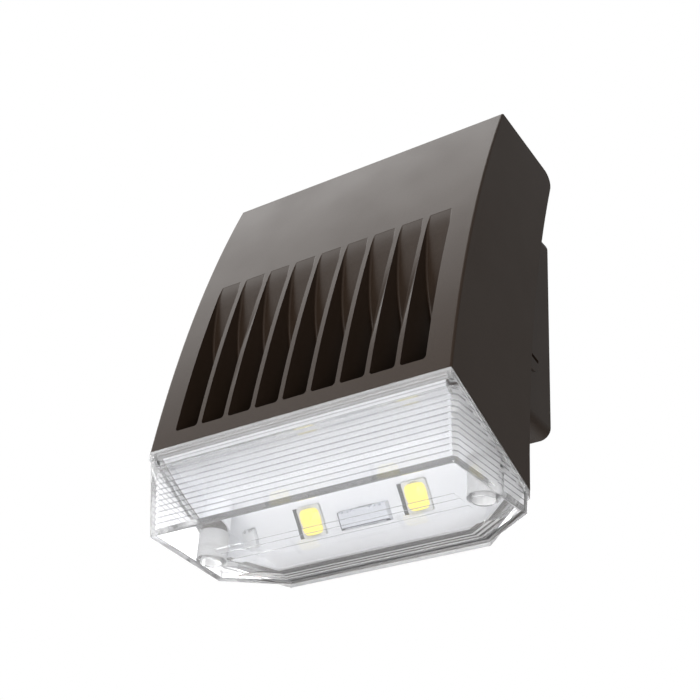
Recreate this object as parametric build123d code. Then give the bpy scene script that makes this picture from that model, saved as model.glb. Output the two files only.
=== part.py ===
from build123d import *
import os
from math import asin, cos, hypot, radians, sin, sqrt, tan

# A small outdoor wall light. A cast back box is screwed to the wall. A deeper cast housing hangs on two hinge
# pins at the top of the box and closes over it like a door. The housing carries the driver, the lamp boards
# and the clear prismatic lens below. All sizes are in millimetres.
# Frame: the origin is on the wall, at the middle of the back box. +X right, +Z up, +Y into the wall.

os.makedirs("parts", exist_ok=True)

# ------------------------------------------------------------------ housing, overall
HALF_WIDTH = 70.6          # half width of the front face
DEPTH = 92.0               # wall to the bottom edge of the front face
DROP = 67.0                # bottom edge of the front face, below the box centre
FACE_HEIGHT = 147.7        # front face, measured upright
FACE_RAKE = 37.5           # how far the top edge of the face stands back from the bottom edge
FACE_BULGE = 4.7           # the face is a shallow arc, this far proud of its chord
ROOF_RUN = 42.4            # roof, front to back
ROOF_FALL = 7.6            # roof falls this much towards the wall
ROOF_CORNER_R = 6.0        # rear corner of the roof
REAR_EDGE_BULGE = 6.25     # rear edge of the side panels is an arc too
SIDE_DRAFT = 2.43          # side panels open towards the wall
RIM_SLOPE = 24.8           # lens rim, front high
RIM_REAR_GAP = 21.0        # wall to the rear of the lens rim
RIM_KNEE_GAP = 37.3        # wall to the corner where the rim turns in
RIM_REAR_HALF = 47.5       # half width of the rim's rear edge
WALL = 3.0                 # casting wall
FACE_WALL = 3.5            # casting wall behind the front face
FRONT_EDGE_R = 0.9         # softened outer edges of the face

# ------------------------------------------------------------------ scooped cooling pockets
POCKET_COUNT = 9
POCKET_MARGIN = 11.5       # front face edge to the first pocket
FIN = 2.16                 # metal left between two pockets
POCKET_BOTTOM = 7.2        # up the face from its bottom edge
POCKET_TIP = 90.0          # up the face, where the floor runs out into the face
POCKET_DEPTH = 26.0        # at the foot
POCKET_CORNER_R = 1.5
POCKET_FLOOR_R = 0.9       # fillet along the floor
TIP_LEAN = 13.0            # lean of the floor where it leaves the face
TIP_R = 55.0               # floor, upper arc
FLOOR_STRAIGHT = 9.0       # floor, upright stretch
SCOOP_R = 78.0             # floor, lower arc
SCOOP_TURN = 32.0          # its turn
POCKET_WEB = 2.5           # metal behind the floor

# ------------------------------------------------------------------ back box
BOX_HALF_W = HALF_WIDTH - 7.1
BOX_HALF_H = 50.0
BOX_DEPTH = 40.0
BOX_WALL = 3.5
BOX_CORNER_R = 5.0
WIRE_ENTRY_R = 11.0
SLOT_SPACING = 79.4
SLOT_LENGTH = 14.4
SLOT_R = 2.4
WALL_HOLE_R = 3.2
WALL_HOLE_X = 104.0
WALL_HOLE_Z = 74.0
WALL_GASKET_W = 3.0
WALL_GASKET_T = 1.6
WALL_GASKET_INSET = 4.5

# ------------------------------------------------------------------ conduit plugs
PLUG_R = 7.1
PLUG_Y = -16.9
PLUG_SIDE_Z = -19.0
PLUG_LENGTH = 8.0
PLUG_PROUD = 0.6
PLUG_SLOT_W = 1.6
PLUG_SLOT_DEPTH = 1.6
PLUG_SLOT_HALF = 5.4
PLUG_SLOT_TURN = 10.0
THREAD_GAP = 0.05
ENTRY_BOSS_R = 10.4

# ------------------------------------------------------------------ joint between housing and box
SEAL_H = 2.0
SEAL_GAP = 0.05
RING_WALL = 3.0

# ------------------------------------------------------------------ hinge
PIVOT_Y = -24.0
PIVOT_Z = 64.0
PIN_R = 2.0
PIN_RUN = 0.05
EAR_R = 4.6
EAR_T = 6.0
EAR_GAP = 0.4
EAR_X = 38.0               # inner face of the box's ear
PIN_HEAD_R = 3.4
PIN_HEAD_T = 1.2
CLIP_R = 3.2
CLIP_T = 0.8

# ------------------------------------------------------------------ lock screws under the box
LOCK_X = 40.0
LOCK_Y = -13.0
LOCK_R = 3.0
LOCK_LENGTH = 15.0
LOCK_TIP_GAP = 0.6
LUG_W = 14.0
LUG_T = 4.8
LUG_GAP = 1.2
LUG_REACH = 5.6            # metal behind the screw
LOCK_HEX = 3.0

# ------------------------------------------------------------------ lamp compartment
RIM_W = 4.6                # rim beside the compartment
RIM_REAR_W = 8.0
LAMP_TILT = 52.0           # lamp face, turned up from level towards the front
LAMP_UP = 18.0             # lamp centre, up the lamp face from its lower edge
LAMP_X = 25.2
CEILING_GAP = 2.8          # compartment ceiling above the rim at the front
CEILING_SLOPE = 7.4
SLAB = 5.4                 # metal behind the lamp face
SHEET = 0.8                # white reflector
SHEET_GAP = 0.15
BOARD_T = 1.6
PAD_T = 0.4
BOARD_LOW = -9.0
BOARD_HIGH = 8.0
BOARD_INNER_X = 4.0        # the two boards stop this far from the middle
BOARD_OUTER_X = 61.0
CHIP = 11.0
CHIP_T = 1.6
PHOSPHOR = 7.8
PHOSPHOR_T = 0.3
DOME_H = 1.9
WINDOW_GAP = 0.4
BRIDGE_HALF = 11.5
BRIDGE_LOW = -5.6
BRIDGE_HIGH = 0.0
BRIDGE_H = 3.2
TERMINAL_X = -56.5
TERMINAL_UP = -1.2
TERMINAL = 5.6
TERMINAL_H = 3.0
BOARD_SCREW_X = (17.0, 46.0)
BOARD_SCREW_UP = 4.6
BOARD_SCREW_R = 1.5
BOARD_SCREW_L = 6.0

# ------------------------------------------------------------------ lens
LENS_BASE_DROP = 35.3      # front face's bottom edge to the lens base
LENS_FRONT_SET = 5.6       # base set back under the front edge
LENS_FRONT_HALF = 69.8
LENS_SIDE_PROUD = 0.9      # side walls outside the casting at the front corners
LENS_WALL = 2.5
LENS_FOOT = 3.4            # thickness of the bottom window
LENS_EDGE_R = 0.8
LENS_CORNER_R = 2.0
LENS_GAP = 0.1             # lens flange inside the outline of the casting
FLANGE_H = 3.0
FLANGE_PROUD = 0.8         # flange stands out over the lens walls
TONGUE_W = 1.5
TONGUE_H = 1.3
GROOVE_INSET = 1.0
GROOVE_W = 2.4
GROOVE_D = 2.6
RIB_PITCH = 2.38
RIB_H = 0.9
RIB_COUNT = 12
RIB_START = 3.6            # first rib below the rim
RIB_SIDE_START = 91.0      # ribs on the side walls start and end this far from the wall
RIB_SIDE_END = 38.0
RIB_CORNER = 1.0           # ribs end this far inside the front corners
STEP_H = 0.22
STEP_RUN = 4.0
STEP_Y = (-63.0, -58.5, -52.0)
STEP_HALF = 55.5
RIDGE_INSET = (5.4, 7.5, 9.6)      # ridges behind the window, in from the rim
RIDGE_W = 1.0
RIDGE_H = 0.6
WELL_X = 63.3
WELL_Y = -54.9
WELL_R = 6.2
WELL_BORE_R = 4.5
WELL_TOP_Z = -87.0
WELL_FLOOR = 3.0
LENS_SCREW_R = 2.0
LENS_SCREW_L = 11.0
LENS_SCREW_HEAD_R = 3.7
LENS_SCREW_HEAD_T = 2.4

# ------------------------------------------------------------------ driver and leads
DRIVER_HALF = 48.0
DRIVER_T = 20.0
DRIVER_H = 46.0
DRIVER_Z = 14.0
DRIVER_REAR_GAP = 3.0
DRIVER_SHELL = 1.6
DRIVER_TAB = 9.0
DRIVER_TAB_T = 2.0
DRIVER_LID_T = 1.6
DRIVER_SCREW_R = 1.75
DRIVER_SCREW_L = 9.0
DRIVER_SCREW_HEAD_R = 3.2
DRIVER_SCREW_HEAD_T = 2.0
LEAD_R = 1.2
LEAD_X = 40.0
LEAD_PITCH = 7.0
LEAD_DROP = 16.0
LEAD_RUN = 26.0
LEAD_INSERT = 6.0          # length of lead inside its connector
LED_LEAD_R = 0.8
LED_LEAD_PITCH = 2.0
DUCT_HOLE_R = 2.3
DUCT_WALL = 1.4
DUCT_UP = 5.0              # where the duct meets the lamp face
GROMMET_R = 3.5
GROMMET_T = 1.2
CONNECTOR_SIZE = (18.0, 6.6, 9.6)
GROUND_X = -34.0
GROUND_Z = 22.0
GROUND_SCREW_R = 2.0
GROUND_SCREW_L = 8.0
GROUND_BOSS_H = 6.0

# ------------------------------------------------------------------ frame helpers
CHORD = hypot(FACE_RAKE, FACE_HEIGHT)
UP_Y = FACE_RAKE / CHORD   # direction up the face
UP_Z = FACE_HEIGHT / CHORD
FACE_FOOT = (-DEPTH, -DROP)
FACE_TOP = (-DEPTH + FACE_RAKE, -DROP + FACE_HEIGHT)
ROOF_REAR = (FACE_TOP[0] + ROOF_RUN, FACE_TOP[1] - ROOF_FALL)
RIM_TAN = tan(radians(RIM_SLOPE))


def rim_z(y):
    """Height of the sloping lens rim at a distance y from the wall."""
    return -DROP - RIM_TAN * (y + DEPTH)


SIDE_FOOT = (-RIM_KNEE_GAP, rim_z(-RIM_KNEE_GAP))


def face_point(up, deep=0.0):
    """(y, z) of a point up the face's chord and behind it."""
    return (FACE_FOOT[0] + up * UP_Y + deep * UP_Z, FACE_FOOT[1] + up * UP_Z - deep * UP_Y)


def at(y, z, x=0.0):
    return Vector(x, y, z)


def chord_arc(p, q, bulge):
    """Arc from p to q in the side view, bulging to the left of the way from p to q."""
    length = hypot(q[0] - p[0], q[1] - p[1])
    side = ((q[1] - p[1]) / length * -bulge, (q[0] - p[0]) / length * bulge)
    middle = ((p[0] + q[0]) / 2 + side[0], (p[1] + q[1]) / 2 + side[1])
    return ThreePointArc(at(*p), at(*middle), at(*q))


def side_solid(edges, half):
    """Solid with the given side view, half wide each way."""
    return extrude(make_face(edges), half, dir=(1, 0, 0), both=True)


def side_block(points, half):
    """Solid with a straight-edged side view."""
    return side_solid(Polyline([at(*p) for p in points], close=True), half)


def plan_block(points, low, high):
    """Upright solid over a plan view."""
    face = make_face(Polyline([(x, y, low) for x, y in points], close=True))
    return extrude(face, high - low, dir=(0, 0, 1))


def block(x0, x1, y0, y1, z0, z1):
    return Pos((x0 + x1) / 2, (y0 + y1) / 2, (z0 + z1) / 2) * Box(x1 - x0, y1 - y0, z1 - z0)


def rod(start, end, radius):
    """Cylinder between two points."""
    axis = Vector(*end) - Vector(*start)
    return extrude(Plane(origin=start, z_dir=axis) * Circle(radius), axis.length)


def mirrored(part):
    return mirror(part, Plane.YZ)


def inset(points, gaps):
    """Convex plan outline with each side moved in by its own gap; side i runs from point i to the next."""
    count = len(points)
    area = sum(points[i][0] * points[(i + 1) % count][1] - points[(i + 1) % count][0] * points[i][1]
               for i in range(count))
    turn = 1 if area > 0 else -1
    lines = []
    for i in range(count):
        (x0, y0), (x1, y1) = points[i], points[(i + 1) % count]
        length = hypot(x1 - x0, y1 - y0)
        nx, ny = -(y1 - y0) / length * turn, (x1 - x0) / length * turn
        lines.append((nx, ny, nx * x0 + ny * y0 + gaps[i]))
    corners = []
    for i in range(count):
        a0, b0, c0 = lines[i - 1]
        a1, b1, c1 = lines[i]
        det = a0 * b1 - a1 * b0
        corners.append(((c0 * b1 - c1 * b0) / det, (a0 * c1 - a1 * c0) / det))
    return corners


# ------------------------------------------------------------------ shared outlines
FAR = 200.0
POCKET_WIDTH = (2 * (HALF_WIDTH - POCKET_MARGIN) - (POCKET_COUNT - 1) * FIN) / POCKET_COUNT
SIDE_TAN = tan(radians(SIDE_DRAFT))
KNEE_DEEP = (SIDE_FOOT[0] + DEPTH) * UP_Z - (SIDE_FOOT[1] + DROP) * UP_Y
KNEE_HALF = HALF_WIDTH + SIDE_TAN * KNEE_DEEP
RIM_PLAN = [(HALF_WIDTH, -DEPTH), (KNEE_HALF, -RIM_KNEE_GAP), (RIM_REAR_HALF, -RIM_REAR_GAP),
            (-RIM_REAR_HALF, -RIM_REAR_GAP), (-KNEE_HALF, -RIM_KNEE_GAP), (-HALF_WIDTH, -DEPTH)]


def rim_plan(side, rear, front):
    """The rim's plan outline, moved in by different amounts at its sides, rear and front."""
    return inset(RIM_PLAN, [side, (side + rear) / 2, rear, (side + rear) / 2, side, front])


def above_rim(gap=0.0):
    """Everything above the rim plane, raised by gap."""
    rise = gap / cos(radians(RIM_SLOPE))
    return side_block([(-FAR, rim_z(-FAR) + rise), (FAR, rim_z(FAR) + rise), (FAR, FAR), (-FAR, FAR)], FAR)


def below_rim(gap=0.0):
    """Everything below the rim plane, lowered by gap."""
    fall = gap / cos(radians(RIM_SLOPE))
    return side_block([(-FAR, rim_z(-FAR) - fall), (FAR, rim_z(FAR) - fall), (FAR, -FAR), (-FAR, -FAR)], FAR)


FACE_R = (CHORD ** 2 / 4 + FACE_BULGE ** 2) / (2 * FACE_BULGE)


def behind_face(gap):
    """Everything behind the curved front face by at least gap."""
    radius = FACE_R - gap
    turn = asin(CHORD * 0.75 / FACE_R)
    points = []
    for angle in (-turn, 0, turn):
        up, deep = CHORD / 2 + radius * sin(angle), FACE_R - FACE_BULGE - radius * cos(angle)
        points.append(at(*face_point(up, deep)))
    top, foot = points[2], points[0]
    outline = ThreePointArc(*points) + Polyline(top, at(FAR, top.Z), at(FAR, foot.Z), foot)
    return side_solid(outline, FAR)


def drafted_block(gap):
    """Slab between the two drafted side planes, moved in by gap."""
    front = Plane(origin=at(*face_point(0, -20.0)), x_dir=(1, 0, 0), z_dir=(0, UP_Z, -UP_Y))
    half = HALF_WIDTH - gap - 20.0 * SIDE_TAN
    return extrude(front * Rectangle(2 * half, 3 * CHORD), 160.0, taper=-SIDE_DRAFT)


# ------------------------------------------------------------------ pocket floor
def floor_line(back):
    """The scooped floor in the side view, moved back into the metal: its edges, first and last point."""
    radius = FACE_R
    half = asin((POCKET_TIP - CHORD / 2) / radius)
    tip = face_point(POCKET_TIP, FACE_R - FACE_BULGE - radius * cos(half))
    lean = radians(TIP_LEAN)
    top_centre = (tip[0] + TIP_R * cos(lean), tip[1] - TIP_R * sin(lean))
    r_top, r_scoop = TIP_R - back, SCOOP_R - back

    def on_top(angle):
        return (top_centre[0] - r_top * cos(angle), top_centre[1] + r_top * sin(angle))

    start, level = on_top(lean), on_top(0)
    arc_top = ThreePointArc(at(*start), at(*on_top(lean / 2)), at(*level))
    foot = (level[0], level[1] - FLOOR_STRAIGHT)
    scoop_centre = (foot[0] + r_scoop, foot[1])
    turn = radians(SCOOP_TURN)

    def on_scoop(angle):
        return (scoop_centre[0] - r_scoop * cos(angle), scoop_centre[1] - r_scoop * sin(angle))

    low = on_scoop(turn)
    arc_scoop = ThreePointArc(at(*foot), at(*on_scoop(turn / 2)), at(*low))
    deep = (low[0] + DEPTH) * UP_Z - (low[1] + DROP) * UP_Y
    gain = sin(turn) * UP_Z + cos(turn) * UP_Y
    reach = (POCKET_DEPTH + back - deep) / gain
    knee = (low[0] + reach * sin(turn), low[1] - reach * cos(turn))
    last = face_point(POCKET_BOTTOM - back, POCKET_DEPTH + back)
    edges = arc_top + Line(at(*level), at(*foot)) + arc_scoop + Polyline(at(*low), at(*knee), at(*last))
    return edges, start, last


def behind_floor(back):
    """Everything behind the pocket floors by at least back."""
    edges, start, last = floor_line(back)
    rest = Polyline(at(*last), at(FAR, last[1]), at(FAR, FAR), at(-FAR, FAR), at(-FAR, start[1]), at(*start))
    return side_solid(edges + rest, FAR)


def upright(edge):
    """Whether an edge runs square to the front face's foot line, as the pockets' lower corners do."""
    way = edge.tangent_at(0.5)
    return abs(way.Y * UP_Z - way.Z * UP_Y) > 0.99


def pocket(x):
    """One scooped pocket, as the solid that is cut out of the face."""
    edges, start, last = floor_line(0.0)
    foot = face_point(POCKET_BOTTOM, -30.0)
    out = (start[0] - 30.0, start[1] + 8.0)
    rest = Polyline(at(*last), at(*foot), at(*out), at(*start))
    cutter = side_solid(edges + rest, POCKET_WIDTH / 2)
    sides = cutter.edges().filter_by(lambda e: abs(abs(e.center().X) - POCKET_WIDTH / 2) < 0.01)
    floor = sides.filter_by(lambda e: e.length > 4.0 and e.center().Y > -DEPTH + 12.0 and not upright(e))
    cutter = fillet(floor, POCKET_FLOOR_R)
    sides = cutter.edges().filter_by(lambda e: abs(abs(e.center().X) - POCKET_WIDTH / 2) < 0.01)
    cutter = fillet(sides.filter_by(lambda e: e.length > 20.0 and upright(e)), POCKET_CORNER_R)
    return Pos(x, 0, 0) * cutter


def pocket_places():
    first = -(HALF_WIDTH - POCKET_MARGIN) + POCKET_WIDTH / 2
    return [first + i * (POCKET_WIDTH + FIN) for i in range(POCKET_COUNT)]


# ------------------------------------------------------------------ lamp face and compartment
LAMP_SIN, LAMP_COS = sin(radians(LAMP_TILT)), cos(radians(LAMP_TILT))
LAMP_FOOT = (-RIM_REAR_GAP - RIM_REAR_W, rim_z(-RIM_REAR_GAP - RIM_REAR_W))
LAMP_CENTRE = (LAMP_FOOT[0] - LAMP_UP * LAMP_COS, LAMP_FOOT[1] + LAMP_UP * LAMP_SIN)
LAMP = Plane(origin=at(*LAMP_CENTRE), x_dir=(1, 0, 0), z_dir=(0, -LAMP_SIN, -LAMP_COS))


def lamp_point(up, out=0.0):
    """(y, z) of a point up the lamp face and out from it."""
    return (LAMP_CENTRE[0] - up * LAMP_COS - out * LAMP_SIN, LAMP_CENTRE[1] + up * LAMP_SIN - out * LAMP_COS)


def compartment(shrink, below=0.0):
    """The lamp compartment's space, shrunk all round, reaching below the rim plane."""
    front = -DEPTH + RIM_W + shrink
    ceiling_front = rim_z(-DEPTH + RIM_W) + CEILING_GAP - shrink
    slope = tan(radians(CEILING_SLOPE))
    face = lamp_point(0, shrink - SHEET)
    face_slope = LAMP_SIN / LAMP_COS
    corner_y = (face[1] + face_slope * face[0] - ceiling_front - slope * front) / (face_slope - slope)
    corner = (corner_y, ceiling_front - slope * (corner_y - front))
    foot_y = face[0] + 30.0
    foot = (foot_y, face[1] - face_slope * 30.0)
    shape = side_block([(front, ceiling_front), corner, foot, (front, foot[1])], FAR)
    plan = rim_plan(RIM_W + shrink, RIM_REAR_W + shrink, RIM_W + shrink)
    return shape & plan_block(plan, -FAR, FAR) & above_rim(-below)


def ceiling_z(y):
    """Height of the compartment's ceiling in the casting."""
    front = -DEPTH + RIM_W - SHEET_GAP
    return rim_z(-DEPTH + RIM_W) + CEILING_GAP + SHEET_GAP - tan(radians(CEILING_SLOPE)) * (y - front)


def at_bosses(radius, low, high):
    """The two upright round places of the lens screws."""
    one = Pos(WELL_X, WELL_Y, (low + high) / 2) * Cylinder(radius, high - low)
    return one + mirrored(one)


# ------------------------------------------------------------------ front housing
CHAMBER_X = BOX_HALF_W - BOX_WALL / 2 - RING_WALL / 2
CHAMBER_Z = BOX_HALF_H - BOX_WALL / 2 - RING_WALL / 2
RING_Y = -BOX_DEPTH - SEAL_GAP - SEAL_H
WEB_LOW = -CHAMBER_Z - RING_WALL
LUG_TOP = -BOX_HALF_H - LUG_GAP
DOOR_EAR_X = EAR_X + EAR_T + EAR_GAP
SLAB_BACK = -SHEET - BOARD_T - PAD_T - SLAB
DRIVER_REAR = RING_Y - DRIVER_REAR_GAP
DRIVER_FRONT = DRIVER_REAR - DRIVER_T
DRIVER_LOW = DRIVER_Z - DRIVER_H / 2
DRIVER_HIGH = DRIVER_Z + DRIVER_H / 2
TAB_X = DRIVER_HALF + DRIVER_TAB / 2


def slab_back_z(y, deeper=0.0):
    """Height of the slab's rear face above a distance y from the wall."""
    back = lamp_point(0, SLAB_BACK + deeper)
    return back[1] - LAMP_SIN / LAMP_COS * (y - back[0])


def outer_form():
    """The housing's outside, as a full block."""
    outline = chord_arc(FACE_FOOT, FACE_TOP, FACE_BULGE)
    outline += Line(at(*FACE_TOP), at(*ROOF_REAR))
    outline += chord_arc(ROOF_REAR, SIDE_FOOT, -REAR_EDGE_BULGE)
    outline += Line(at(*SIDE_FOOT), at(*FACE_FOOT))
    form = side_solid(outline, FAR / 2)
    rear_corner = form.edges().filter_by(Axis.X).sort_by_distance(at(*ROOF_REAR))[0]
    form = fillet(rear_corner, ROOF_CORNER_R) & drafted_block(0.0)
    front = form.edges().filter_by(
        lambda e: abs((e.center().Y + DEPTH) * UP_Z - (e.center().Z + DROP) * UP_Y) < 7.0
        and e.center().Z > FACE_FOOT[1] + 5.0)
    return fillet(front, FRONT_EDGE_R)


def apron():
    """The low rear part that carries the rim back past the side panels."""
    rear, front = -RIM_REAR_GAP, LAMP_CENTRE[0] - 8.0
    points = [(front, rim_z(front)), (rear, rim_z(rear)), (rear, slab_back_z(rear)),
              (front, slab_back_z(front))]
    return side_block(points, FAR) & plan_block(rim_plan(0, 0, 0), -FAR, FAR) & drafted_block(0.0)


def rear_hollow():
    """Open space under the box, behind the lamp slab."""
    front = face_point(0, POCKET_DEPTH + POCKET_WEB)[0] + 4.0
    floor_z = ceiling_z(front) + WALL
    floor_y = front
    while slab_back_z(floor_y) > floor_z:
        floor_y += 0.25
    points = [(front, WEB_LOW), (20.0, WEB_LOW), (20.0, slab_back_z(20.0)), (floor_y, slab_back_z(floor_y)),
              (front, slab_back_z(floor_y))]
    return side_block(points, FAR) & drafted_block(WALL)


def hinge_ear(x0, x1, anchor_z):
    """An ear around the hinge axis, joined straight up or down to anchor_z."""
    ear = rod((x0, PIVOT_Y, PIVOT_Z), (x1, PIVOT_Y, PIVOT_Z), EAR_R)
    low, high = min(PIVOT_Z, anchor_z), max(PIVOT_Z, anchor_z)
    return ear + block(x0, x1, PIVOT_Y - EAR_R, PIVOT_Y + EAR_R, low, high)


def lock_lug():
    """Arm that reaches back under the box and holds the lock screw, with its gusset."""
    low, root_y = LUG_TOP - LUG_T, RING_Y - 8.0
    x0, x1 = LOCK_X - LUG_W / 2, LOCK_X + LUG_W / 2
    arm = block(x0, x1, root_y, LOCK_Y + LUG_REACH, low, LUG_TOP)
    arm = fillet(arm.edges().filter_by(Axis.Z).group_by(Axis.Y)[-1], 3.0)
    root = block(x0, x1, root_y, RING_Y, low, WEB_LOW + 0.5)
    toe_y = RING_Y + 4.0
    gusset = side_block([(root_y, low + 0.5), (LOCK_Y - 10.0, low + 0.5), (toe_y, slab_back_z(toe_y, 1.0)),
                         (root_y, slab_back_z(root_y, 1.0))], WALL / 2)
    return arm + root + Pos(LOCK_X, 0, 0) * gusset


def slab_rib(x):
    """Rib between the chamber floor and the lamp slab."""
    front, rear = RING_Y - 14.0, RING_Y
    points = [(front, WEB_LOW + 0.5), (rear, WEB_LOW + 0.5), (rear, slab_back_z(rear, 1.0)),
              (front, slab_back_z(front, 1.0))]
    return Pos(x, 0, 0) * side_block(points, WALL / 2)


def duct_route():
    """(y, z) corners of the lead duct, from inside the chamber down to the rear of the lamp board."""
    end = lamp_point(DUCT_UP, -SHEET)
    last = lamp_point(DUCT_UP, -SHEET - 8.0)
    bend = (last[0] - 14.0 * cos(radians(62.0)), last[1] + 14.0 * sin(radians(62.0)))
    start = (bend[0] - 24.0 * cos(radians(72.0)), bend[1] + 24.0 * sin(radians(72.0)))
    return [start, bend, last, end]


def duct(radius):
    """Round passage along the duct's route."""
    points = [(TERMINAL_X, y, z) for y, z in duct_route()]
    shape = rod(points[0], points[1], radius) + rod(points[1], points[2], radius)
    shape += rod(points[2], points[3], radius)
    return shape + Pos(*points[1]) * Sphere(radius) + Pos(*points[2]) * Sphere(radius)


def behind_lamp(gap):
    """Everything behind the visible lamp face by at least gap."""
    foot, head = lamp_point(-80, -gap), lamp_point(80, -gap)
    return side_block([foot, head, (FAR, head[1]), (FAR, foot[1])], FAR)


def board_screw_places(radius, low, high):
    """Round places of the board screws, from low to high above the visible lamp face."""
    holes = []
    for x in BOARD_SCREW_X:
        for side in (-1, 1):
            place = LAMP * Pos(side * x, BOARD_SCREW_UP, low)
            holes.append(extrude(place * Circle(radius), high - low, dir=tuple(LAMP.z_dir)))
    return Compound(children=holes)


def driver_posts():
    """Two posts behind the pockets, where the driver's tabs are screwed down."""
    one = rod((TAB_X, DRIVER_FRONT, DRIVER_Z), (TAB_X, DRIVER_FRONT - 30.0, DRIVER_Z), DRIVER_SCREW_HEAD_R)
    one = one & behind_floor(POCKET_WEB - 0.8)
    return one + mirrored(one)


def driver_screw_places(radius, length):
    tip = DRIVER_FRONT + DRIVER_TAB_T - length
    one = rod((TAB_X, DRIVER_FRONT + DRIVER_TAB_T, DRIVER_Z), (TAB_X, tip, DRIVER_Z), radius)
    return one + mirrored(one)


def rim_groove():
    """Groove for the lens gasket and the lens tongue."""
    edge = GROOVE_INSET + GROOVE_W
    ring = plan_block(rim_plan(GROOVE_INSET, GROOVE_INSET, GROOVE_INSET), -FAR, FAR)
    ring -= plan_block(rim_plan(edge, edge, edge), -FAR, FAR)
    return ring & (above_rim(-1.0) - above_rim(GROOVE_D))


def front_housing():
    form = outer_form() + apron()
    fall = (FACE_TOP[1] - ROOF_REAR[1]) / (ROOF_REAR[0] - FACE_TOP[0])
    drop = WALL * sqrt(1 + fall ** 2)
    under_roof = side_block([(-FAR, FACE_TOP[1] - drop - fall * (-FAR - FACE_TOP[0])),
                             (FAR, FACE_TOP[1] - drop - fall * (FAR - FACE_TOP[0])),
                             (FAR, WEB_LOW), (-FAR, WEB_LOW)], FAR)
    skirt_space = drafted_block(WALL) & behind_face(FACE_WALL) & under_roof
    ring_x, ring_z = CHAMBER_X + RING_WALL, CHAMBER_Z + RING_WALL
    ring = block(-ring_x, ring_x, -FAR, RING_Y, -ring_z, ring_z)
    chamber = block(-CHAMBER_X, CHAMBER_X, -FAR, RING_Y + 1.0, -CHAMBER_Z, CHAMBER_Z)
    chamber = chamber & behind_face(FACE_WALL) & behind_floor(POCKET_WEB)
    form = form - (skirt_space - ring) - rear_hollow() - chamber
    for x in pocket_places():
        form -= pocket(x)
    form += duct(DUCT_HOLE_R + DUCT_WALL) & side_block([(-FAR, WEB_LOW + 0.5), (RING_Y, WEB_LOW + 0.5),
                                                       (RING_Y, WEB_LOW - 3.0), (FAR, WEB_LOW - 3.0),
                                                       (FAR, -FAR), (-FAR, -FAR)], FAR) & behind_lamp(SHEET)
    form -= compartment(-SHEET_GAP, 5.0)
    recess = LAMP * Pos(0, (BOARD_LOW + BOARD_HIGH) / 2, -SHEET - (BOARD_T + PAD_T) / 2)
    form -= recess * Box(2 * BOARD_OUTER_X + 1.0, BOARD_HIGH - BOARD_LOW + 1.0, BOARD_T + PAD_T)
    form -= rim_groove()
    for x in (0.0, LOCK_X / 2, -LOCK_X / 2):
        form += slab_rib(x)
    lug = lock_lug()
    form += lug + mirrored(lug)
    ear = hinge_ear(DOOR_EAR_X, DOOR_EAR_X + EAR_T, ROOF_REAR[1])
    form += ear + mirrored(ear)
    form += at_bosses(WELL_R - 1.0, WELL_TOP_Z, ceiling_z(WELL_Y) + 1.0)
    form += driver_posts()
    tip_z = WELL_TOP_Z - WELL_FLOOR + LENS_SCREW_L
    form -= at_bosses(LENS_SCREW_R + THREAD_GAP, WELL_TOP_Z - 1.0, tip_z + 1.0)
    form -= duct(DUCT_HOLE_R)
    pin_hole = rod((-FAR, PIVOT_Y, PIVOT_Z), (FAR, PIVOT_Y, PIVOT_Z), PIN_R + PIN_RUN)
    form -= pin_hole & block(-EAR_X - 20.0, EAR_X + 20.0, -FAR, FAR, -FAR, FAR)
    lock_hole = rod((LOCK_X, LOCK_Y, -FAR), (LOCK_X, LOCK_Y, LUG_TOP + 0.5), LOCK_R + THREAD_GAP)
    form -= lock_hole + mirrored(lock_hole)
    form -= driver_screw_places(DRIVER_SCREW_R + THREAD_GAP, DRIVER_SCREW_L + 0.5)
    return form - board_screw_places(BOARD_SCREW_R + THREAD_GAP, -SHEET - BOARD_SCREW_L - 0.5, -SHEET)


def door_gasket():
    ring_x, ring_z = CHAMBER_X + RING_WALL, CHAMBER_Z + RING_WALL
    gasket = block(-ring_x, ring_x, RING_Y, RING_Y + SEAL_H, -ring_z, ring_z)
    return gasket - block(-CHAMBER_X, CHAMBER_X, RING_Y, RING_Y + SEAL_H, -CHAMBER_Z, CHAMBER_Z)


# ------------------------------------------------------------------ back box
def slot_places(radius, length, y0, y1):
    """The two junction-box slots, as solids to cut."""
    place = Plane(origin=(SLOT_SPACING / 2, y0, 0), x_dir=(1, 0, 0), z_dir=(0, 1, 0))
    one = extrude(place * SlotOverall(length, 2 * radius), y1 - y0)
    return one + mirrored(one)


def wall_hole_places(radius, y0, y1):
    holes = [rod((x, y0, z), (x, y1, z), radius)
             for x in (-WALL_HOLE_X / 2, WALL_HOLE_X / 2) for z in (-WALL_HOLE_Z / 2, WALL_HOLE_Z / 2)]
    return Compound(children=holes)


def entry_rods(radius, outer, inner):
    """Solids round the left, right and bottom conduit entries, from outer to inner past the box face."""
    side = rod((BOX_HALF_W + outer, PLUG_Y, PLUG_SIDE_Z), (BOX_HALF_W - inner, PLUG_Y, PLUG_SIDE_Z), radius)
    low = rod((0, PLUG_Y, -BOX_HALF_H - outer), (0, PLUG_Y, -BOX_HALF_H + inner), radius)
    return [side, mirrored(side), low]


def rounded_block(half_w, half_h, y0, y1, radius):
    shape = block(-half_w, half_w, y0, y1, -half_h, half_h)
    return fillet(shape.edges().filter_by(Axis.Y), radius)


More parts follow.
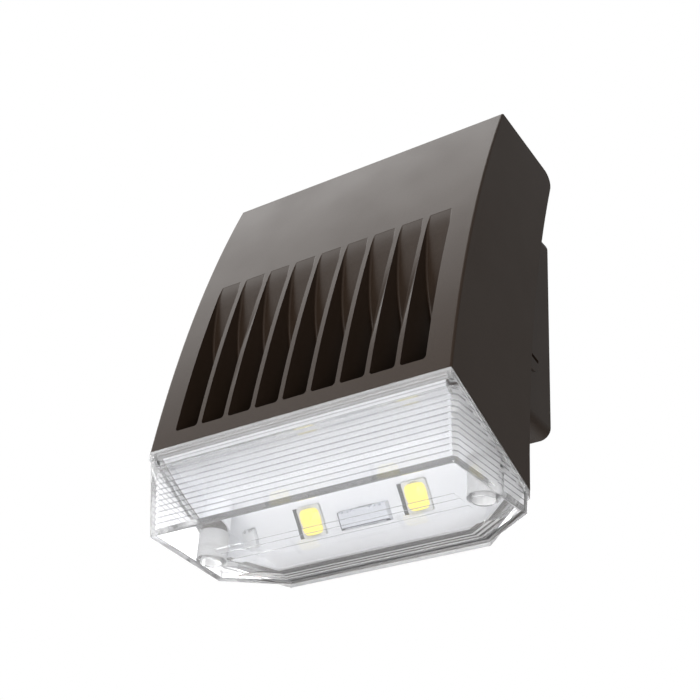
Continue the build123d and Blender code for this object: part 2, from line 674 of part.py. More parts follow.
def back_box():
    box = rounded_block(BOX_HALF_W, BOX_HALF_H, -BOX_DEPTH, 0, BOX_CORNER_R)
    inner = rounded_block(BOX_HALF_W - BOX_WALL, BOX_HALF_H - BOX_WALL, -BOX_DEPTH, -BOX_WALL,
                          BOX_CORNER_R - BOX_WALL + 1.0)
    entries = entry_rods(ENTRY_BOSS_R, 0.0, PLUG_LENGTH)
    bosses = wall_hole_places(WALL_HOLE_R + 2.4, -BOX_WALL - 2.5, -BOX_WALL)
    screw_boss = rod((LOCK_X, LOCK_Y, -BOX_HALF_H + 1.0), (LOCK_X, LOCK_Y, -BOX_HALF_H + 8.0), LOCK_R + 2.6)
    bridge = block(LOCK_X - 2.0, LOCK_X + 2.0, LOCK_Y, -1.0, -BOX_HALF_H + 1.0, -BOX_HALF_H + 8.0)
    ground_top = -BOX_WALL - GROUND_BOSS_H
    ground = rod((GROUND_X, -1.0, GROUND_Z), (GROUND_X, ground_top, GROUND_Z), GROUND_SCREW_R + 2.6)
    box = box - inner
    for solid in entries:
        box += solid & rounded_block(BOX_HALF_W, BOX_HALF_H, -BOX_DEPTH, 0, BOX_CORNER_R)
    box += bosses
    box += screw_boss + bridge + mirrored(screw_boss + bridge)
    box += ground
    ear = hinge_ear(EAR_X, EAR_X + EAR_T, BOX_HALF_H - 1.0)
    rib = Pos(EAR_X + EAR_T / 2, 0, 0) * side_block(
        [(PIVOT_Y, PIVOT_Z - 4.0), (PIVOT_Y + 14.0, BOX_HALF_H - 1.0), (PIVOT_Y, BOX_HALF_H - 1.0)], 1.5)
    box += ear + rib + mirrored(ear + rib)
    for hole in entry_rods(PLUG_R + THREAD_GAP, 1.0, PLUG_LENGTH + 1.0):
        box -= hole
    box -= wall_hole_places(WALL_HOLE_R, -BOX_WALL - 4.0, 1.0)
    box -= slot_places(SLOT_R, SLOT_LENGTH, -BOX_WALL - 4.0, 1.0)
    box -= rod((0, -BOX_WALL - 1.0, 0), (0, 1.0, 0), WIRE_ENTRY_R)
    lock_hole = rod((LOCK_X, LOCK_Y, -BOX_HALF_H - 1.0), (LOCK_X, LOCK_Y, -BOX_HALF_H + 9.0), LOCK_R + 0.08)
    box -= lock_hole + mirrored(lock_hole)
    pin = rod((-FAR, PIVOT_Y, PIVOT_Z), (FAR, PIVOT_Y, PIVOT_Z), PIN_R + PIN_RUN)
    box -= pin
    box -= rod((GROUND_X, ground_top - 1.0, GROUND_Z), (GROUND_X, ground_top + GROUND_SCREW_L, GROUND_Z),
               GROUND_SCREW_R + THREAD_GAP)
    return box - wall_gasket()


def wall_gasket():
    w, h = BOX_HALF_W - WALL_GASKET_INSET, BOX_HALF_H - WALL_GASKET_INSET
    ring = rounded_block(w, h, -WALL_GASKET_T, 0, WALL_GASKET_W + 1.0)
    return ring - rounded_block(w - WALL_GASKET_W, h - WALL_GASKET_W, -WALL_GASKET_T, 0, 1.0)


def conduit_plugs():
    """Three threaded plugs, each with a screwdriver slot across its proud face."""
    plugs = []
    for solid in entry_rods(PLUG_R, PLUG_PROUD, PLUG_LENGTH):
        rims = solid.edges().filter_by(GeomType.CIRCLE)
        plugs.append(chamfer(rims, 0.4))
    turn = radians(PLUG_SLOT_TURN)
    face = BOX_HALF_W + PLUG_PROUD
    slot = Plane(origin=(face, PLUG_Y, PLUG_SIDE_Z), x_dir=(0, cos(turn), -sin(turn)), z_dir=(-1, 0, 0))
    side_cut = extrude(slot * Rectangle(2 * PLUG_SLOT_HALF, PLUG_SLOT_W), PLUG_SLOT_DEPTH)
    low = Plane(origin=(0, PLUG_Y, -BOX_HALF_H - PLUG_PROUD), x_dir=(1, 0, 0), z_dir=(0, 0, 1))
    low_cut = extrude(low * Rectangle(2 * PLUG_SLOT_HALF, PLUG_SLOT_W), PLUG_SLOT_DEPTH)
    return [plugs[0] - side_cut, plugs[1] - mirrored(side_cut), plugs[2] - low_cut]


def ground_screw():
    top = -BOX_WALL - GROUND_BOSS_H
    shank = rod((GROUND_X, top, GROUND_Z), (GROUND_X, top + GROUND_SCREW_L - 1.0, GROUND_Z), GROUND_SCREW_R)
    head = Plane(origin=(GROUND_X, top, GROUND_Z), x_dir=(1, 0, 0), z_dir=(0, -1, 0)) * RegularPolygon(4.0, 6)
    head = extrude(head, 2.6)
    slot = block(GROUND_X - 5.0, GROUND_X + 5.0, top - 2.6, top - 1.5, GROUND_Z - 0.5, GROUND_Z + 0.5)
    return shank + head - slot


# ------------------------------------------------------------------ hinge pins
def hinge_pins():
    end = DOOR_EAR_X + EAR_T + EAR_GAP + CLIP_T + 1.4
    pin = rod((EAR_X, PIVOT_Y, PIVOT_Z), (end, PIVOT_Y, PIVOT_Z), PIN_R)
    pin += rod((EAR_X - PIN_HEAD_T, PIVOT_Y, PIVOT_Z), (EAR_X, PIVOT_Y, PIVOT_Z), PIN_HEAD_R)
    groove = DOOR_EAR_X + EAR_T + EAR_GAP
    cut = rod((groove, PIVOT_Y, PIVOT_Z), (groove + CLIP_T, PIVOT_Y, PIVOT_Z), PIN_R + 1.0)
    cut -= rod((groove, PIVOT_Y, PIVOT_Z), (groove + CLIP_T, PIVOT_Y, PIVOT_Z), PIN_R - 0.5)
    pin -= cut
    return [pin, mirrored(pin)]


def hinge_clips():
    """Open rings that snap into the pins' grooves."""
    x0 = DOOR_EAR_X + EAR_T + EAR_GAP
    ring = rod((x0, PIVOT_Y, PIVOT_Z), (x0 + CLIP_T, PIVOT_Y, PIVOT_Z), CLIP_R)
    ring -= rod((x0, PIVOT_Y, PIVOT_Z), (x0 + CLIP_T, PIVOT_Y, PIVOT_Z), PIN_R - 0.5)
    ring -= block(x0 - 1.0, x0 + 2.0, PIVOT_Y - 1.1, PIVOT_Y + 1.1, PIVOT_Z - 10.0, PIVOT_Z)
    return [ring, mirrored(ring)]


def lock_screw():
    """Lock screw at rest, backed out of the box, with its hex socket below."""
    top = -BOX_HALF_H - LOCK_TIP_GAP
    screw = rod((LOCK_X, LOCK_Y, top - LOCK_LENGTH), (LOCK_X, LOCK_Y, top), LOCK_R)
    screw = chamfer(screw.edges().filter_by(GeomType.CIRCLE), 0.5)
    head = rod((LOCK_X, LOCK_Y, top - LOCK_LENGTH - 3.6), (LOCK_X, LOCK_Y, top - LOCK_LENGTH), LOCK_R + 1.9)
    head = chamfer(head.edges().filter_by(GeomType.CIRCLE).group_by(Axis.Z)[0], 0.5)
    socket = Plane(origin=(LOCK_X, LOCK_Y, top - LOCK_LENGTH - 3.6))
    return screw + head - extrude(socket * RegularPolygon(LOCK_HEX / 2 * 1.1547, 6), 2.4)


# ------------------------------------------------------------------ lens
LENS_LOW = -DROP - LENS_BASE_DROP


def plane_normal(a, b, c):
    return (Vector(*b) - Vector(*a)).cross(Vector(*c) - Vector(*a)).normalized()


def lens_faces():
    """Point and outward normal of each wall of the lens."""
    p, g = FLANGE_PROUD, LENS_GAP
    top_front = (0.0, -DEPTH + p + g, rim_z(-DEPTH + p + g))
    low_front = (0.0, -DEPTH + LENS_FRONT_SET, LENS_LOW)
    front = plane_normal(top_front, low_front, (1.0, low_front[1], LENS_LOW))
    side_a = (HALF_WIDTH + LENS_SIDE_PROUD, -DEPTH, -DROP)
    side_b = (KNEE_HALF - g, -RIM_KNEE_GAP, rim_z(-RIM_KNEE_GAP))
    side_c = (LENS_FRONT_HALF, -DEPTH + LENS_FRONT_SET, LENS_LOW)
    side = plane_normal(side_a, side_b, side_c)
    side = side if side.X > 0 else -side
    knee, rear = RIM_PLAN[1], RIM_PLAN[2]
    length = hypot(rear[0] - knee[0], rear[1] - knee[1])
    corner = Vector((rear[1] - knee[1]) / length, -(rear[0] - knee[0]) / length, 0)
    corner_point = (knee[0] - (p + g) * corner.X, knee[1] - (p + g) * corner.Y, LENS_LOW)
    front = front if front.Y < 0 else -front
    right = [(Vector(*side_a), side), (Vector(*corner_point), corner)]
    left = [(Vector(-point.X, point.Y, point.Z), Vector(-out.X, out.Y, out.Z)) for point, out in right]
    rear_wall = (Vector(0, -RIM_REAR_GAP - p - g, 0), Vector(0, 1, 0))
    return [(Vector(*top_front), front), *right, *left, rear_wall]


def lens_form(gap, floor_gap):
    """The space inside the lens walls moved in by gap, its bottom moved up by floor_gap."""
    form = block(-90.0, 90.0, -110.0, 0.0, LENS_LOW + floor_gap, LENS_LOW + 60.0)
    for point, normal in lens_faces():
        cut = Plane(origin=point - normal * gap, z_dir=normal) * Rectangle(600, 600)
        form -= extrude(cut, 80.0)
    return form


def prism_ribs():
    """Saw-tooth ribs on the inner faces of the front and side walls."""
    ribs = []
    front_end = LENS_FRONT_HALF - RIB_CORNER
    walls = (lens_faces()[0], -front_end, front_end), (lens_faces()[1], RIB_SIDE_END, RIB_SIDE_START)
    for (point, normal), low, high in walls:
        inward = -normal
        along = Vector(0, 0, 1).cross(normal).normalized()
        down = along.cross(normal).normalized()
        down = down if down.Z < 0 else -down
        start_z = -DROP - RIB_START
        origin = point + inward * LENS_WALL + down * ((start_z - (point + inward * LENS_WALL).Z) / down.Z)
        outline = [(0.0, -0.4), (0.0, 0.0)]
        for i in range(RIB_COUNT):
            height = RIB_H * (1.0 - 0.7 * i / (RIB_COUNT - 1))
            outline += [(i * RIB_PITCH + 0.02, height), ((i + 1) * RIB_PITCH, 0.0)]
        outline += [(RIB_COUNT * RIB_PITCH, -0.4)]
        frame = Plane(origin=origin, x_dir=down, z_dir=down.cross(inward))
        profile = make_face(frame * Polyline([(a, b) for a, b in outline], close=True))
        bar = extrude(profile, 200.0, both=True)
        if abs(normal.X) < 0.5:
            ribs.append(bar & block(low, high, -110.0, 0.0, LENS_LOW, 0.0))
        else:
            side = bar & block(0.0, 90.0, -high, -low, LENS_LOW, 0.0)
            ribs += [side, mirrored(side)]
    return ribs


def flange_ring(inner):
    """Flange just below the rim plane, between the rim outline and an inner inset."""
    ring = plan_block(rim_plan(LENS_GAP, LENS_GAP, LENS_GAP), -FAR, FAR)
    ring -= plan_block(rim_plan(inner, inner, inner), -FAR, FAR)
    return ring & below_rim() & above_rim(-FLANGE_H)


def lens_tongue():
    middle = GROOVE_INSET + GROOVE_W / 2
    low, high = middle - TONGUE_W / 2, middle + TONGUE_W / 2
    ring = plan_block(rim_plan(low, low, low), -FAR, FAR) - plan_block(rim_plan(high, high, high), -FAR, FAR)
    return ring & above_rim(-0.5) & (above_rim(-1.0) - above_rim(TONGUE_H))


def rear_ridges():
    """Low ridges on the window, along its rear edge and rear corners."""
    top = LENS_LOW + LENS_FOOT
    ridges = []
    for gap in RIDGE_INSET:
        far = gap + RIDGE_W
        ring = plan_block(rim_plan(gap, gap, gap), top - 0.3, top + RIDGE_H)
        ring -= plan_block(rim_plan(far, far, far), top - 0.3, top + RIDGE_H)
        ridges.append(ring & block(-FAR, FAR, -RIM_KNEE_GAP, FAR, -FAR, FAR))
    return ridges


def lens():
    form = lens_form(0.0, 0.0)
    upright = form.edges().filter_by(lambda e: abs(e.tangent_at(0.5).Z) > 0.9)
    form = fillet(upright, LENS_CORNER_R)
    form = fillet(form.edges().group_by(Axis.Z)[0], LENS_EDGE_R)
    hollow = lens_form(LENS_WALL, LENS_FOOT)
    inside_rim = plan_block(rim_plan(LENS_GAP, LENS_GAP, LENS_GAP), -FAR, FAR) & below_rim()
    shell = (form & (inside_rim + below_rim(FLANGE_H))) - hollow
    keep = lens_form(LENS_WALL / 2, 0.5)
    for rib in prism_ribs():
        shell += rib & keep & below_rim(FLANGE_H)
    for y in STEP_Y:
        top = LENS_LOW + LENS_FOOT
        step = side_block([(y, top - 0.3), (y, top + STEP_H), (y + STEP_RUN, top), (y + STEP_RUN, top - 0.3)],
                          STEP_HALF)
        shell += step
    for ridge in rear_ridges():
        shell += ridge & form
    wells = at_bosses(WELL_R, LENS_LOW + 0.5, WELL_TOP_Z)
    shell += wells & form
    shell += flange_ring(GROOVE_INSET + GROOVE_W + 0.8)
    shell += lens_tongue()
    shell -= at_bosses(WELL_BORE_R, LENS_LOW - 1.0, WELL_TOP_Z - WELL_FLOOR)
    shell -= at_bosses(LENS_SCREW_R + 0.3, LENS_LOW - 1.0, WELL_TOP_Z + 1.0)
    return shell - at_bosses(WELL_R - 0.7, WELL_TOP_Z, WELL_TOP_Z + 20.0)


def lens_gasket():
    edge = GROOVE_INSET + GROOVE_W
    ring = plan_block(rim_plan(GROOVE_INSET, GROOVE_INSET, GROOVE_INSET), -FAR, FAR)
    ring -= plan_block(rim_plan(edge, edge, edge), -FAR, FAR)
    return ring & (above_rim(TONGUE_H) - above_rim(GROOVE_D))


def lens_screws():
    shank = at_bosses(LENS_SCREW_R, WELL_TOP_Z - WELL_FLOOR, WELL_TOP_Z - WELL_FLOOR + LENS_SCREW_L)
    low = WELL_TOP_Z - WELL_FLOOR - LENS_SCREW_HEAD_T
    head = Pos(WELL_X, WELL_Y, low + LENS_SCREW_HEAD_T / 2) * Cylinder(LENS_SCREW_HEAD_R, LENS_SCREW_HEAD_T)
    head = fillet(head.edges().filter_by(GeomType.CIRCLE).group_by(Axis.Z)[0], 0.9)
    head -= Pos(WELL_X, WELL_Y, low + 0.6) * Box(4.4, 0.9, 1.4)
    head -= Pos(WELL_X, WELL_Y, low + 0.6) * Box(0.9, 4.4, 1.4)
    return shank + head + mirrored(head)


# ------------------------------------------------------------------ lamp parts
def lamp_block(x, up, wide, tall, low, high):
    """Block on the lamp face: centre x and up, its size, and its lower and upper height above the face."""
    return LAMP * Pos(x, up, (low + high) / 2) * Box(wide, tall, high - low)


def reflector():
    """One white sheet over the lamp boards, the ceiling and the compartment's walls."""
    sheet = compartment(0.0) - compartment(SHEET)
    inner = plan_block(rim_plan(RIM_W + SHEET, RIM_REAR_W + SHEET, RIM_W + SHEET), -FAR, FAR)
    sheet -= inner & below_rim(-0.5) & above_rim(-20.0) & side_block(
        [(-FAR, -FAR), (LAMP_FOOT[0] - 2.0, -FAR), (LAMP_FOOT[0] - 2.0, FAR), (-FAR, FAR)], FAR)
    for side in (-1, 1):
        window = lamp_block(side * LAMP_X, 0, CHIP + 2 * WINDOW_GAP, CHIP + 2 * WINDOW_GAP, -5, 5)
        sheet -= fillet(window.edges().filter_by(lambda e: abs(e.length - 10.0) < 0.01), 1.2)
    middle = (BRIDGE_LOW + BRIDGE_HIGH) / 2
    sheet -= lamp_block(0, middle, 2 * BRIDGE_HALF + 0.6, BRIDGE_HIGH - BRIDGE_LOW + 0.6, -5, 5)
    sheet -= lamp_block(TERMINAL_X, TERMINAL_UP, TERMINAL + 0.6, TERMINAL + 0.6, -5, 5)
    sheet += at_bosses(WELL_R - 1.0 + SHEET_GAP + SHEET, WELL_TOP_Z + 0.3, -60.0) & compartment(0.0)
    return sheet - at_bosses(WELL_R - 1.0 + SHEET_GAP, WELL_TOP_Z - 1.0, -60.0)


def led_board(side):
    x0, x1 = BOARD_INNER_X, BOARD_OUTER_X
    board = lamp_block(side * (x0 + x1) / 2, (BOARD_LOW + BOARD_HIGH) / 2, x1 - x0, BOARD_HIGH - BOARD_LOW,
                       -SHEET - BOARD_T, -SHEET)
    corners = board.edges().filter_by(lambda e: abs(e.length - BOARD_T) < 0.01)
    outer = corners.sort_by(Axis.X)[-2:] if side > 0 else corners.sort_by(Axis.X)[:2]
    board = chamfer(outer, 3.0)
    board -= board_screw_places(BOARD_SCREW_R + 0.2, -SHEET - BOARD_T, -SHEET)
    if side < 0:
        board -= duct_end(-SHEET - BOARD_T, -SHEET)
    return board


def duct_end(low, high):
    """The duct's last stretch through the board and the pad."""
    place = LAMP * Pos(TERMINAL_X, DUCT_UP, low)
    return extrude(place * Circle(DUCT_HOLE_R), high - low, dir=tuple(LAMP.z_dir))


def thermal_pad():
    low, high = -SHEET - BOARD_T - PAD_T, -SHEET - BOARD_T
    pad = lamp_block(0, (BOARD_LOW + BOARD_HIGH) / 2, 2 * BOARD_OUTER_X - 7.0, BOARD_HIGH - BOARD_LOW,
                     low, high)
    return pad - board_screw_places(BOARD_SCREW_R + 0.2, low, high) - duct_end(low, high)


def board_screws():
    """Low screws that hold the boards; their heads stay under the white sheet."""
    screws = []
    for x in BOARD_SCREW_X:
        for side in (-1, 1):
            place = LAMP * Pos(side * x, BOARD_SCREW_UP, -SHEET - BOARD_SCREW_L)
            screws.append(extrude(place * Circle(BOARD_SCREW_R), BOARD_SCREW_L, dir=tuple(LAMP.z_dir)))
    return screws


def chip_body(side):
    body = lamp_block(side * LAMP_X, 0, CHIP, CHIP, -SHEET, -SHEET + CHIP_T)
    body = fillet(body.edges().filter_by(lambda e: abs(e.length - CHIP_T) < 0.01), 1.0)
    return body - lamp_block(side * LAMP_X, 0, PHOSPHOR, PHOSPHOR, -SHEET + CHIP_T - PHOSPHOR_T, 5)


def phosphor(side):
    low = -SHEET + CHIP_T - PHOSPHOR_T
    return lamp_block(side * LAMP_X, 0, PHOSPHOR, PHOSPHOR, low, low + PHOSPHOR_T)


def dome(side):
    """Clear dome over one chip."""
    base = CHIP / 2 - 0.3
    radius = (base ** 2 + DOME_H ** 2) / (2 * DOME_H)
    top = -SHEET + CHIP_T
    ball = LAMP * Pos(side * LAMP_X, 0, top + DOME_H - radius) * Sphere(radius)
    return ball & lamp_block(side * LAMP_X, 0, 20, 20, top, top + 10)


def bridge_connector():
    """Plug and socket between the two boards."""
    middle, tall = (BRIDGE_LOW + BRIDGE_HIGH) / 2, BRIDGE_HIGH - BRIDGE_LOW
    body = lamp_block(0, middle, 2 * BRIDGE_HALF, tall, -SHEET, -SHEET + BRIDGE_H)
    top = body.edges().filter_by(lambda e: LAMP.to_local_coords(e.center()).Z > -SHEET + BRIDGE_H - 0.1)
    body = fillet(top, 0.3)
    for side in (-1, 1):
        for i in range(3):
            body -= lamp_block(side * (BRIDGE_HALF - 2.6 - 2.4 * i), BRIDGE_HIGH, 1.2, 1.6, -SHEET + 1.0, 5)
    return body - lamp_block(0, BRIDGE_LOW, 2 * BRIDGE_HALF - 3.0, 1.2, -SHEET + BRIDGE_H - 1.2, 5)


def lead_terminal():
    body = lamp_block(TERMINAL_X, TERMINAL_UP, TERMINAL, TERMINAL, -SHEET, -SHEET + TERMINAL_H)
    for side in (-1, 1):
        body -= lamp_block(TERMINAL_X + side * 1.3, TERMINAL_UP + TERMINAL / 2, 1.4, 2.0, -SHEET + 0.8, 5)
    return body


# ------------------------------------------------------------------ driver
def driver_case():
    """Case, open at the back, with two screw tabs and holes for its leads."""
    case = block(-DRIVER_HALF, DRIVER_HALF, DRIVER_FRONT, DRIVER_REAR - DRIVER_LID_T, DRIVER_LOW, DRIVER_HIGH)
    case = fillet(case.edges().filter_by(Axis.Y), 2.5)
    tab = block(DRIVER_HALF - 1.0, DRIVER_HALF + DRIVER_TAB, DRIVER_FRONT, DRIVER_FRONT + DRIVER_TAB_T,
                DRIVER_Z - 7.0, DRIVER_Z + 7.0)
    tab = fillet(tab.edges().filter_by(Axis.Y).group_by(Axis.X)[-1], 3.0)
    tab -= rod((TAB_X, -FAR, DRIVER_Z), (TAB_X, FAR, DRIVER_Z), DRIVER_SCREW_R + 0.3)
    case += tab + mirrored(tab)
    case -= block(-DRIVER_HALF + DRIVER_SHELL, DRIVER_HALF - DRIVER_SHELL, DRIVER_FRONT + DRIVER_SHELL,
                  DRIVER_REAR, DRIVER_LOW + DRIVER_SHELL, DRIVER_HIGH - DRIVER_SHELL)
    for (x, y), radius in lead_exits():
        case -= rod((x, y, DRIVER_LOW - 1.0), (x, y, DRIVER_LOW + DRIVER_SHELL), radius)
    return case


def driver_potting():
    return block(-DRIVER_HALF + DRIVER_SHELL, DRIVER_HALF - DRIVER_SHELL, DRIVER_FRONT + DRIVER_SHELL,
                 DRIVER_REAR - DRIVER_LID_T - 1.0, DRIVER_LOW + DRIVER_SHELL, DRIVER_HIGH - DRIVER_SHELL)


def driver_lid():
    lid = block(-DRIVER_HALF, DRIVER_HALF, DRIVER_REAR - DRIVER_LID_T, DRIVER_REAR, DRIVER_LOW, DRIVER_HIGH)
    return fillet(lid.edges().filter_by(Axis.Y), 2.5)


def driver_screws():
    top = DRIVER_FRONT + DRIVER_TAB_T
    head = rod((TAB_X, top, DRIVER_Z), (TAB_X, top + DRIVER_SCREW_HEAD_T, DRIVER_Z), DRIVER_SCREW_HEAD_R)
    head = fillet(head.edges().filter_by(GeomType.CIRCLE).group_by(Axis.Y)[-1], 0.8)
    head -= block(TAB_X - 2.4, TAB_X + 2.4, top + 1.1, top + 3.0, DRIVER_Z - 0.45, DRIVER_Z + 0.45)
    head -= block(TAB_X - 0.45, TAB_X + 0.45, top + 1.1, top + 3.0, DRIVER_Z - 2.4, DRIVER_Z + 2.4)
    return driver_screw_places(DRIVER_SCREW_R, DRIVER_SCREW_L) + head + mirrored(head)


# ------------------------------------------------------------------ leads
LEAD_YS = [(DRIVER_FRONT + DRIVER_REAR - DRIVER_LID_T) / 2 + i * LEAD_PITCH for i in (-1, 0, 1)]
LED_LEAD_Y = (DRIVER_FRONT + DRIVER_REAR) / 2 + 1.0
LED_LEAD_X = TERMINAL_X + 12.5


def lead_exits():
    """Where each lead leaves the driver, and the size of its hole."""
    exits = [((LEAD_X, y), LEAD_R) for y in LEAD_YS]
    return exits + [((LED_LEAD_X + side * LED_LEAD_PITCH / 2, LED_LEAD_Y), LED_LEAD_R) for side in (-1, 1)]


def lead(points, radius):
    """A wire along straight runs and arcs; each arc is as large as its runs allow."""
    route = [Vector(*p) for p in points]
    radii = []
    for before, corner, after in zip(route, route[1:], route[2:]):
        turn = radians((corner - before).get_angle(after - corner))
        radii.append(0.45 * min((corner - before).length, (after - corner).length) / tan(turn / 2))
    print("lead of", 2 * radius, "mm, arc radii", [round(r, 1) for r in radii])
    path = FilletPolyline(*route, radius=radii)
    start = Plane(origin=route[0], z_dir=route[1] - route[0])
    return sweep(start * Circle(radius), path=path)


def supply_leads():
    """Three leads from the driver down and across into their connectors."""
    low, start = DRIVER_LOW - LEAD_DROP, DRIVER_LOW + DRIVER_SHELL
    return [lead([(LEAD_X, y, start), (LEAD_X, y, low), (LEAD_X - LEAD_RUN, y, low)], LEAD_R)
            for y in LEAD_YS]


def wire_connectors():
    """Lever connectors at the ends of the supply leads."""
    wide, deep, tall = CONNECTOR_SIZE
    x1 = LEAD_X - LEAD_RUN + LEAD_INSERT
    low = DRIVER_LOW - LEAD_DROP
    solids = []
    for y in LEAD_YS:
        body = block(x1 - wide, x1, y - deep / 2, y + deep / 2, low - 3.4, low - 3.4 + tall)
        body = chamfer(body.edges().filter_by(Axis.Y).group_by(Axis.Z)[-1], 2.4)
        body -= rod((x1 - LEAD_INSERT, y, low), (x1 + 1.0, y, low), LEAD_R)
        body -= rod((x1 - wide - 1.0, y, low), (x1 - wide + LEAD_INSERT, y, low), LEAD_R + 0.4)
        lever = block(x1 - wide + 4.0, x1 - 3.0, y - 1.6, y + 1.6, low - 3.4 + tall, low - 2.4 + tall)
        solids.append(body + lever)
    return solids


def led_leads():
    """Two leads from the driver through the duct to the rear of the left lamp board."""
    route = duct_route()
    pair = []
    for side in (-1, 1):
        dx = side * LED_LEAD_PITCH / 2
        points = [(LED_LEAD_X + dx, LED_LEAD_Y, DRIVER_LOW + DRIVER_SHELL),
                  (LED_LEAD_X + dx, LED_LEAD_Y, DRIVER_LOW - 11.0)]
        points += [(TERMINAL_X + dx, y, z) for y, z in route]
        pair.append(lead(points, LED_LEAD_R))
    return pair


def lead_grommet():
    """Rubber bush that closes the duct around its two leads."""
    start, bend = duct_route()[:2]
    step = (bend[0] - start[0]) / (bend[1] - start[1])
    low, high = WEB_LOW - 2.0, -CHAMBER_Z + GROMMET_T

    def axis(z, dx=0.0):
        return (TERMINAL_X + dx, start[0] + step * (z - start[1]), z)

    floor = -CHAMBER_Z
    plug = rod(axis(low), axis(high + 3.0), DUCT_HOLE_R - 0.05)
    plug &= block(-90, 90, -90, 0, -90, high)
    flange = Pos(TERMINAL_X, axis(floor)[1], floor + GROMMET_T / 2) * Cylinder(GROMMET_R, GROMMET_T)
    bush = plug + flange
    for side in (-1, 1):
        dx = side * LED_LEAD_PITCH / 2
        bush -= rod(axis(low - 3.0, dx), axis(high + 3.0, dx), LED_LEAD_R + 0.05)
    return bush


def group(solids):
    return Compound(children=list(solids))


if __name__ == "__main__":
    lock = lock_screw()
    nodes = {
        "back_box": back_box(),
        "wall_gasket": wall_gasket(),
        "conduit_plugs": group(conduit_plugs()),
        "ground_screw": ground_screw(),
        "hinge_pins": group(hinge_pins()),
        "hinge_clips": group(hinge_clips()),
        "front_housing": front_housing(),
        "door_gasket": door_gasket(),
        "lens": lens(),
        "lens_gasket": lens_gasket(),
        "lens_screws": lens_screws(),
        "reflector": reflector(),
        "led_board_left": led_board(-1),
        "led_board_right": led_board(1),
        "thermal_pad": thermal_pad(),
        "board_screws": group(board_screws()),
        "led_packages": group([chip_body(-1), chip_body(1)]),
        "led_phosphors": group([phosphor(-1), phosphor(1)]),
        "led_domes": group([dome(-1), dome(1)]),
        "bridge_connector": bridge_connector(),
        "lead_terminal": lead_terminal(),
        "led_leads": group(led_leads()),
        "lead_grommet": lead_grommet(),
        "driver_case": driver_case(),
        "driver_potting": driver_potting(),
        "driver_lid": driver_lid(),
        "driver_screws": driver_screws(),
        "supply_leads": group(supply_leads()),
        "wire_connectors": group(wire_connectors()),
        "lock_screw_right": lock,
        "lock_screw_left": mirrored(lock),
    }
    for name, shape in nodes.items():
        export_step(shape, f"parts/{name}.step")
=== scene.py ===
import bmesh
import bpy
from bpy.props import FloatProperty, FloatVectorProperty, IntProperty, PointerProperty
from mathutils import Matrix, Vector


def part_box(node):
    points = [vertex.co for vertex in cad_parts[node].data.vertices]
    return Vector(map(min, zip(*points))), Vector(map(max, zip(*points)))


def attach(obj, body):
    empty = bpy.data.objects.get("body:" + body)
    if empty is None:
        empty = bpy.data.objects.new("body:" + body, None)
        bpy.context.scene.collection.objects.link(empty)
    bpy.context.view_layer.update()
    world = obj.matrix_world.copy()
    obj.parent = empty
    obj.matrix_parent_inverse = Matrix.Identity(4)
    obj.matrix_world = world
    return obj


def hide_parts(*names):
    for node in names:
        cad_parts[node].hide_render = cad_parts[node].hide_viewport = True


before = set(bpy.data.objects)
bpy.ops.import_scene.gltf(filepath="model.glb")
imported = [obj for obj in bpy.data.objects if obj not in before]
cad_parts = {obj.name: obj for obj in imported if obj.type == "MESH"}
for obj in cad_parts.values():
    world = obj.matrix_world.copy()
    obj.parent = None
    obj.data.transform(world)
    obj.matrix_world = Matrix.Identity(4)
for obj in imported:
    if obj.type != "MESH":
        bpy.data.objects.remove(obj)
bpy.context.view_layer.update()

bl_info = {
    "name": "Prismatic wall light",
    "version": (1, 0, 0),
    "blender": (4, 5, 0),
    "location": "3D View > Sidebar > Wall light",
    "description": "Finishes, small pieces and studio for a hinged cast wall light with a clear prismatic lens",
    "category": "Object",
}

# Where the drawn finishes sit on the CAD, in metres unless said otherwise
FACE_FOOT = (-0.092, -0.067)  # y and z of the lower front edge of the front casting
FACE_LEAN = (0.969, 0.246)  # cosine and sine of the face's lean, for the depth behind it
# Painted shade: the coat darkens deep in the front casting's cooling pockets
POCKET_SPAN = (0.0592, 0.024)  # half width and top of the field of pockets
POCKET_FLOOR = 0.0272  # no pocket is deeper behind the face than this
POCKET_START = 0.004  # the painted shade begins this far behind the face

# Lens: dark lines of painted shade along the prisms, and milky screw wells
SIDE_WALL = 0.0645  # the lens's side walls are outside this half width
FRONT_END = 0.0668  # the front wall's prisms end at this half width
FRONT_WALL = -0.076  # y ahead of which a wall of the lens is the front wall
SIDE_START = -0.0865  # y where the side walls' prisms begin
FACING = 0.3  # least lean of a face towards a direction that counts as facing it
WELL_PLACE = (0.0633, -0.0549)  # |x| and y of the screw wells
WELL_REACH = 0.0064  # radius that takes in a well and its seat
WELL_FOOT = -0.1018  # z of the wells' lower end

# Lens: dark bands of painted shade over the rear ridges, and a milky wall edge and flange
REAR_WALL = -0.021  # y of the inside of the rear wall
CORNER_LEAN = (0.5369, 0.8437)  # x and y of the direction across the slanting rear corners
RIDGE_INSET = 0.0054  # from the wall to the first ridge
RIDGE_PITCH = 0.0021  # from one ridge to the next
RIDGE_SHARE = 0.48  # share of the pitch that is a dark ridge
RIDGE_ROWS = 3.0  # ridges, counted in pitches
RIDGE_LAST = (1.95, 3.2)  # the innermost ridge is wider, from and to, in pitches
RIDGE_LEVEL = (-0.0991, -0.0981)  # z of the ridges' tops
RIDGE_END = -0.0373  # y where the ridges end
WALL_EDGE = 0.0026  # thickness of the wall's milky edge
RIM_LEAN = 0.46206  # rise of the sloping rim per length forward
RIM_FLANGE = -0.0034  # the flange is above this distance under the rim's line

# Painted shade: dark strips on the reflector beside the emitters
SIDE_SHADE_CLEAR = 0.0006  # the painted shade strips stop this far from the emitter's top and bottom
SIDE_SHADE_REACH = (0.002, 0.003)  # how far the painted shade strips go behind and in front of the emitters
SIDE_SHADE_LEFT = (0.0003, 0.0023)  # near and far side of the left painted shade strip, from the left emitter's edge
SIDE_SHADE_RIGHT = (0.0113, 0.0133)  # near and far side of the other painted shade strip, from the right emitter's far edge
BRIDGE_SHADE = (0.0006, 0.0007)  # width of the painted shade along the board connector's left and lower edges
